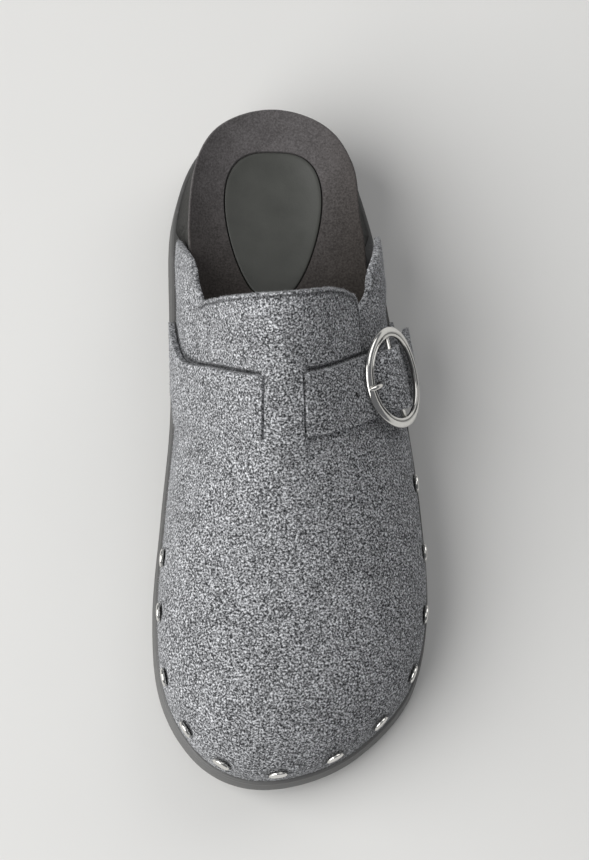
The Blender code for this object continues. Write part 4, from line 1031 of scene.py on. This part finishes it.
def make_midsole():
    behind_felt = felt_inset(AROUND) + WING_DEPTH_BASE + FELT + 2.0 * GAP
    x, y = outline(AROUND, MIDSOLE_INSET + (behind_felt - MIDSOLE_INSET) * covered(AROUND))
    drop = INSOLE_THICKNESS + GAP
    loops = [np.stack([x, y, ledge_height(y) + GAP], axis=-1)]
    loops += [footbed_edge(drop + below) for below in (5.0, 2.5, 0.6)]
    loops.append(footbed_edge(drop, 0.5))
    return ladder("midsole_block", loops, (0.1, 0.25, 0.5, 0.75, 0.9), lambda x, y: ledge_height(y) + GAP,
                  lambda x, y: footbed(x, y, drop))


dress(make_midsole(), foam.material, "midsole_foam", "midsole")

# %% [markdown]
# ## Footbed and heel patch
# The footbed is suede over cork, cupped at the heel, with a smooth leather patch let into it. The mesh
# runs in lines from the patch's egg outline out to the edge, so both outlines are exact. Between patch
# and suede a groove of half a millimetre stays open and dark. The patch is plain and only a little domed.

# %% Footbed mesh
PATCH_X, PATCH_Y, PATCH_LONG, PATCH_WIDE = -8.0, 84.4, 28.9, 17.9
PATCH_EGG, PATCH_FULLNESS, PATCH_THICKNESS = 0.28, 0.7, 1.2
GROOVE_WIDE = 0.45


def egg(turn, grow):
    full = np.sign(np.sin(turn)) * np.abs(np.sin(turn)) ** PATCH_FULLNESS
    x = PATCH_X + (PATCH_WIDE + grow) * full * (1.0 + PATCH_EGG * np.cos(turn))
    return x, PATCH_Y + (PATCH_LONG + grow) * np.cos(turn)


def egg_towards(heading, grow):
    fine = np.linspace(0.0, TURN, 1441)
    x, y = egg(fine, grow)
    around = np.unwrap(np.arctan2(x - PATCH_X, y - PATCH_Y))
    return egg(np.interp(np.mod(heading, TURN), around, fine), grow)


def make_footbed():
    edge = footbed_edge(0.0)
    heading = np.arctan2(edge[:, 0] - PATCH_X, edge[:, 1] - PATCH_Y)
    x0, y0 = egg_towards(heading, GROOVE_WIDE)
    rim, recess = footbed_edge(0.0, 0.9), PATCH_THICKNESS + GAP

    def on_bed(x, y, below):
        return np.stack([x, y, footbed(x, y, below)], axis=-1)

    def towards_middle(x, y, share, below):
        return on_bed(PATCH_X + (x - PATCH_X) * share, PATCH_Y + (y - PATCH_Y) * share, below)

    loops = [towards_middle(edge[:, 0], edge[:, 1], t, INSOLE_THICKNESS) for t in np.linspace(0.02, 0.96, 12)]
    for below, inwards in ((INSOLE_THICKNESS, 0.0), (1.1, 0.0), (0.5, 0.12), (0.15, 0.45)):
        loops.append(footbed_edge(below, inwards))
    for t in 1.0 - np.linspace(0.0, 0.985, 42) ** 1.2:
        loops.append(on_bed(x0 + (rim[:, 0] - x0) * t, y0 + (rim[:, 1] - y0) * t, 0.0))
    for grow, below in ((0.62, 0.0), (0.5, 0.12), (GROOVE_WIDE, 0.35), (GROOVE_WIDE, recess)):
        loops.append(on_bed(*egg_towards(heading, grow), below))
    loops += [towards_middle(x0, y0, t, recess) for t in np.linspace(0.9, 0.02, 8)]
    return solid_loops("suede_footbed", loops)


def make_patch():
    turn = np.arange(120) * TURN / 120
    loops = []
    for share in np.linspace(0.06, 0.94, 10):
        x, y = egg(turn, 0.0)
        x, y = PATCH_X + (x - PATCH_X) * share, PATCH_Y + (y - PATCH_Y) * share
        loops.append(np.stack([x, y, footbed(x, y, PATCH_THICKNESS)], axis=-1))
    for grow, d in ((0.0, PATCH_THICKNESS), (0.0, 0.4), (-0.1, 0.15), (-0.35, 0.0), (-1.2, -0.08)):
        x, y = egg(turn, grow)
        loops.append(np.stack([x, y, footbed(x, y, d)], axis=-1))
    for share in np.linspace(0.9, 0.06, 16):
        x, y = egg(turn, -1.2)
        x, y = PATCH_X + (x - PATCH_X) * share, PATCH_Y + (y - PATCH_Y) * share
        loops.append(np.stack([x, y, footbed(x, y, -0.1)], axis=-1))
    return solid_loops("leather_patch", loops)


print("patch, mm:", 2.0 * PATCH_LONG, "long")

# %% Suede and leather
suede = Finish("footbed_suede")
nap, shade = suede.noise(0.8, 2.0, 0.7), suede.noise(9.0, 3.0, 0.6)
spot_x, spot_y = (suede.node("ShaderNodeSeparateXYZ", {}, suede.place(), out=k) for k in (0, 1))
# painted light: the heel is paler as painted sheen, and the outer side darker as painted shade
heel = suede.soft(spot_y, 0.035, 0.125) * (1.0 - suede.soft(spot_x, 0.0, 0.028) * 0.62)
suede_low = suede.blend(heel, (0.019, 0.0163, 0.014), (0.062, 0.058, 0.058))
suede_high = suede.blend(heel, (0.046, 0.0395, 0.035), (0.132, 0.124, 0.127))
suede.done(Base_Color=suede.blend(suede.even(nap * 1.5 + shade * 0.5, 0.7, 1.3), suede_low, suede_high),
           Roughness=0.95, Normal=suede.bump(nap, 0.2, 0.7), Sheen_Weight=0.15, Sheen_Roughness=0.4,
           Specular_IOR_Level=0.15)
dress(make_footbed(), suede.material, "footbed_suede", "insole")

leather = Finish("patch_leather")
pebble = leather.node("ShaderNodeTexVoronoi", {}, Vector=leather.place(), Scale=1.0 / (0.8 * MM))
cloud = leather.noise(8.0, 3.0)
dark_hide, light_hide = (0.031, 0.0325, 0.0283), (0.047, 0.049, 0.0433)
charcoal_leather = leather.blend(leather.even(cloud, 0.2, 0.8), dark_hide, light_hide)
leather.done(Base_Color=charcoal_leather, Roughness=0.46 + cloud * 0.1,
             Normal=leather.bump(pebble, 0.05, 0.4))
dress(make_patch(), leather.material, "patch_leather", "heel_patch")

# %% [markdown]
# ## Buckle and studs
# The ring is a bent band with a broad round outer rim, a thin inner lip and a shallow groove between them,
# and a bar across its middle. The groove's dark line and the dark inner wall are painted reflection and
# shade. The prong starts at the bar, comes up through a hole in the strap close to the ring and rests on
# it. The studs are low domed nail heads, a little steeper than the felt they are driven into. All are
# polished steel, so what they show is mostly the room around them, broken by fine brushed lines.

# %% Buckle meshes
RING_DEPTH, RING_LIFT, RING_TILT, STUD_DROOP = 2.0, 6.15, 0.12, 0.2


def buckle_point(a, b, up):
    a, b, up = (np.asarray(v, float)[..., None] for v in (a, b, up))
    lift = RING_LIFT + RING_TILT * a - 0.5 * BUCKLE_BEND * a * a + up
    return BUCKLE_MIDDLE + BUCKLE_RUN * a + BUCKLE_SIDE * b + BUCKLE_OUT * lift


def squared(wave):
    return np.sign(wave) * np.abs(wave) ** 0.8


def make_ring():
    turn, round_ = np.arange(144)[:, None] * TURN / 144, np.arange(56)[None, :] * TURN / 56
    wide = squared(np.cos(round_))
    # the groove is shallow in shape; its dark line and the inner wall's dark are painted reflection and shade
    groove = np.exp(-((wide + 0.3) / 0.18) ** 2) * (np.sin(round_) > 0.0) + 0.0 * turn
    shade = np.maximum(groove, 0.8 * step(-0.86, -0.97, wide))
    radius = RING_RADIUS + 0.5 * RING_BAND * wide + 0.0 * turn
    tall = 0.5 * RING_DEPTH * squared(np.sin(round_)) - 0.5 * groove
    points = buckle_point(radius * np.cos(turn), radius * np.sin(turn), tall)
    return solid_loops("buckle_ring", points, closed=True, painted_shade=shade)


def rod(name, a, b, up, radius, flat):
    turn = np.arange(14) * TURN / 14
    wide, tall = np.cos(turn), 0.9 * np.sin(turn)
    return solid_loops(name, [buckle_point(x + flat[0] * r * wide, y + flat[1] * r * wide, z + r * tall)
                              for x, y, z, r in zip(a, b, up, radius)])


def make_prong():
    a = np.linspace(-2.4, -20.6, 60)
    rest = 0.5 * RING_DEPTH + GAP + 0.9
    up = smooth((-20.6, -RING_RADIUS, -14.0, -11.8, -10.2, -2.4), (1.5, rest, 1.6, 0.4, -1.7, -0.6), a)
    radius = 0.95 * np.sqrt(np.clip((a + 20.9) / 2.2, 0.12, 1.0))
    return rod("buckle_pin", a, 0.0 * a, up, radius, (0.0, 1.0))


def make_stud_discs():
    turn = np.arange(36) * TURN / 36
    profile = ((1.0, -0.9), (1.0, 0.0), (0.98, 0.16), (0.93, 0.3), (0.8, 0.5), (0.55, 0.68), (0.2, 0.78))
    discs = []
    for middle, out in STUD_PLACES:
        out = unit(out - np.array([0.0, 0.0, STUD_DROOP]))
        side = unit(np.cross(out, np.array([0.0, 0.0, 1.0])))
        ring = np.cos(turn)[:, None] * side + np.sin(turn)[:, None] * np.cross(side, out)
        loops = [middle + out * (GAP + h) + STUD_RADIUS * r * ring for r, h in profile]
        discs.append(solid_loops("disc", loops))
    return discs


def joined(name, parts):
    work = bmesh.new()
    for part in parts:
        work.from_mesh(part.data)
        bpy.data.objects.remove(part)
    mesh = bpy.data.meshes.new(name)
    work.to_mesh(mesh)
    work.free()
    mesh.shade_smooth()
    return stand(name, mesh)


print("ring across, mm:", 2.0 * RING_RADIUS + RING_BAND)

# %% Polished steel
steel = Finish("polished_steel")
lines, smears = steel.strands((0.4, 0.2, 0.9), 6.0, 0.12), steel.noise(3.0, 3.0)
polish = steel.blend(smears, (0.70, 0.69, 0.66), (0.86, 0.85, 0.82))
# painted reflection and shade: the marked groove and inner wall are blended towards near black
steel.done(Base_Color=steel.blend(steel.mark("painted_shade") * 0.9, polish, (0.03, 0.03, 0.03)), Metallic=1.0,
           Roughness=0.06 + smears * 0.12, Normal=steel.bump(lines, 0.01, 0.2))
bar = rod("buckle_bar", [0.0, 0.0], [-17.1, 17.1], [-0.5, -0.5], [1.1, 1.1], (1.0, 0.0))
dress(joined("buckle_ring_and_bar", [make_ring(), bar]), steel.material, "polished_steel", "buckle_frame")
dress(make_prong(), steel.material, "polished_steel", "buckle_prong")
stud_names = [f"stud_{k:02d}" for k in range(1, len(STUD_PLACES) + 1)]
dress(joined("edge_studs", make_stud_discs()), steel.material, "polished_steel", *stud_names)

# %% [markdown]
# ## Floor, light and camera
# The photograph looks down at the shoe from just in front of the toe, with a large soft light from the
# toe's inner side. One big area light gives the soft shadow to the right, two weaker ones overhead and
# behind and a dim world fill the rest, so that the steel has dark horizons to show, and a long lens keeps
# the shape true.

# %% Floor
floor_mesh = bpy.data.meshes.new("pale_floor")
floor_mesh.from_pydata([(-3, -3, 0), (3, -3, 0), (3, 3, 0), (-3, 3, 0)], [], [(0, 1, 2, 3)])
floor = stand("pale_floor", floor_mesh)
ground = Finish("pale_floor")
ground_tone = ground.noise(60.0, 2.0)
ground.done(Base_Color=ground.blend(ground_tone, (0.655, 0.653, 0.643), (0.675, 0.673, 0.663)), Roughness=0.7)
floor_mesh.materials.append(ground.material)
print("floor side, m:", 6.0)


# %% Light
def area_light(name, place, size, watts, colour):
    light = bpy.data.lights.new(name, "AREA")
    light.shape, light.size, light.energy, light.color = "DISK", size, watts, colour
    item = stand(name, light)
    item.location = place
    towards_shoe = Vector((0.0, 0.0, 0.04)) - item.location
    item.rotation_euler = towards_shoe.to_track_quat("-Z", "Y").to_euler()


area_light("window", (-1.50, -0.45, 1.30), 2.7, 70.0, (1.0, 0.995, 0.98))
area_light("ceiling", (0.2, 0.3, 1.7), 1.8, 2.0, (1.0, 1.0, 1.0))
area_light("back_fill", (0.95, 1.1, 1.25), 1.6, 10.0, (1.0, 0.99, 0.97))
world = bpy.data.worlds.new("studio")
world.use_nodes = True
sky = world.node_tree.nodes["Background"]
sky.inputs["Color"].default_value = (0.93, 0.95, 1.0, 1.0)
sky.inputs["Strength"].default_value = 0.16
bpy.context.scene.world = world
bpy.context.scene.view_settings.view_transform = "Standard"
print("lights:", len(bpy.data.lights))

# %% Camera
CAMERA_TILT, CAMERA_SIDE, CAMERA_FAR, CAMERA_LENS = math.radians(13.0), math.radians(3.0), 1.15, 126.0
camera = stand("camera", bpy.data.cameras.new("camera"))
target = Vector((0.0, 0.003, 0.035))
back = Vector((-math.sin(CAMERA_SIDE), -math.sin(CAMERA_TILT), math.cos(CAMERA_TILT))).normalized()
camera.location = target + back * CAMERA_FAR
right = Vector((0.0, 1.0, 0.0)).cross(back).normalized()
camera.rotation_euler = Matrix((right, back.cross(right), back)).transposed().to_euler()
camera.data.lens = CAMERA_LENS
bpy.context.scene.camera = camera
print("camera at", [round(v, 3) for v in camera.location])
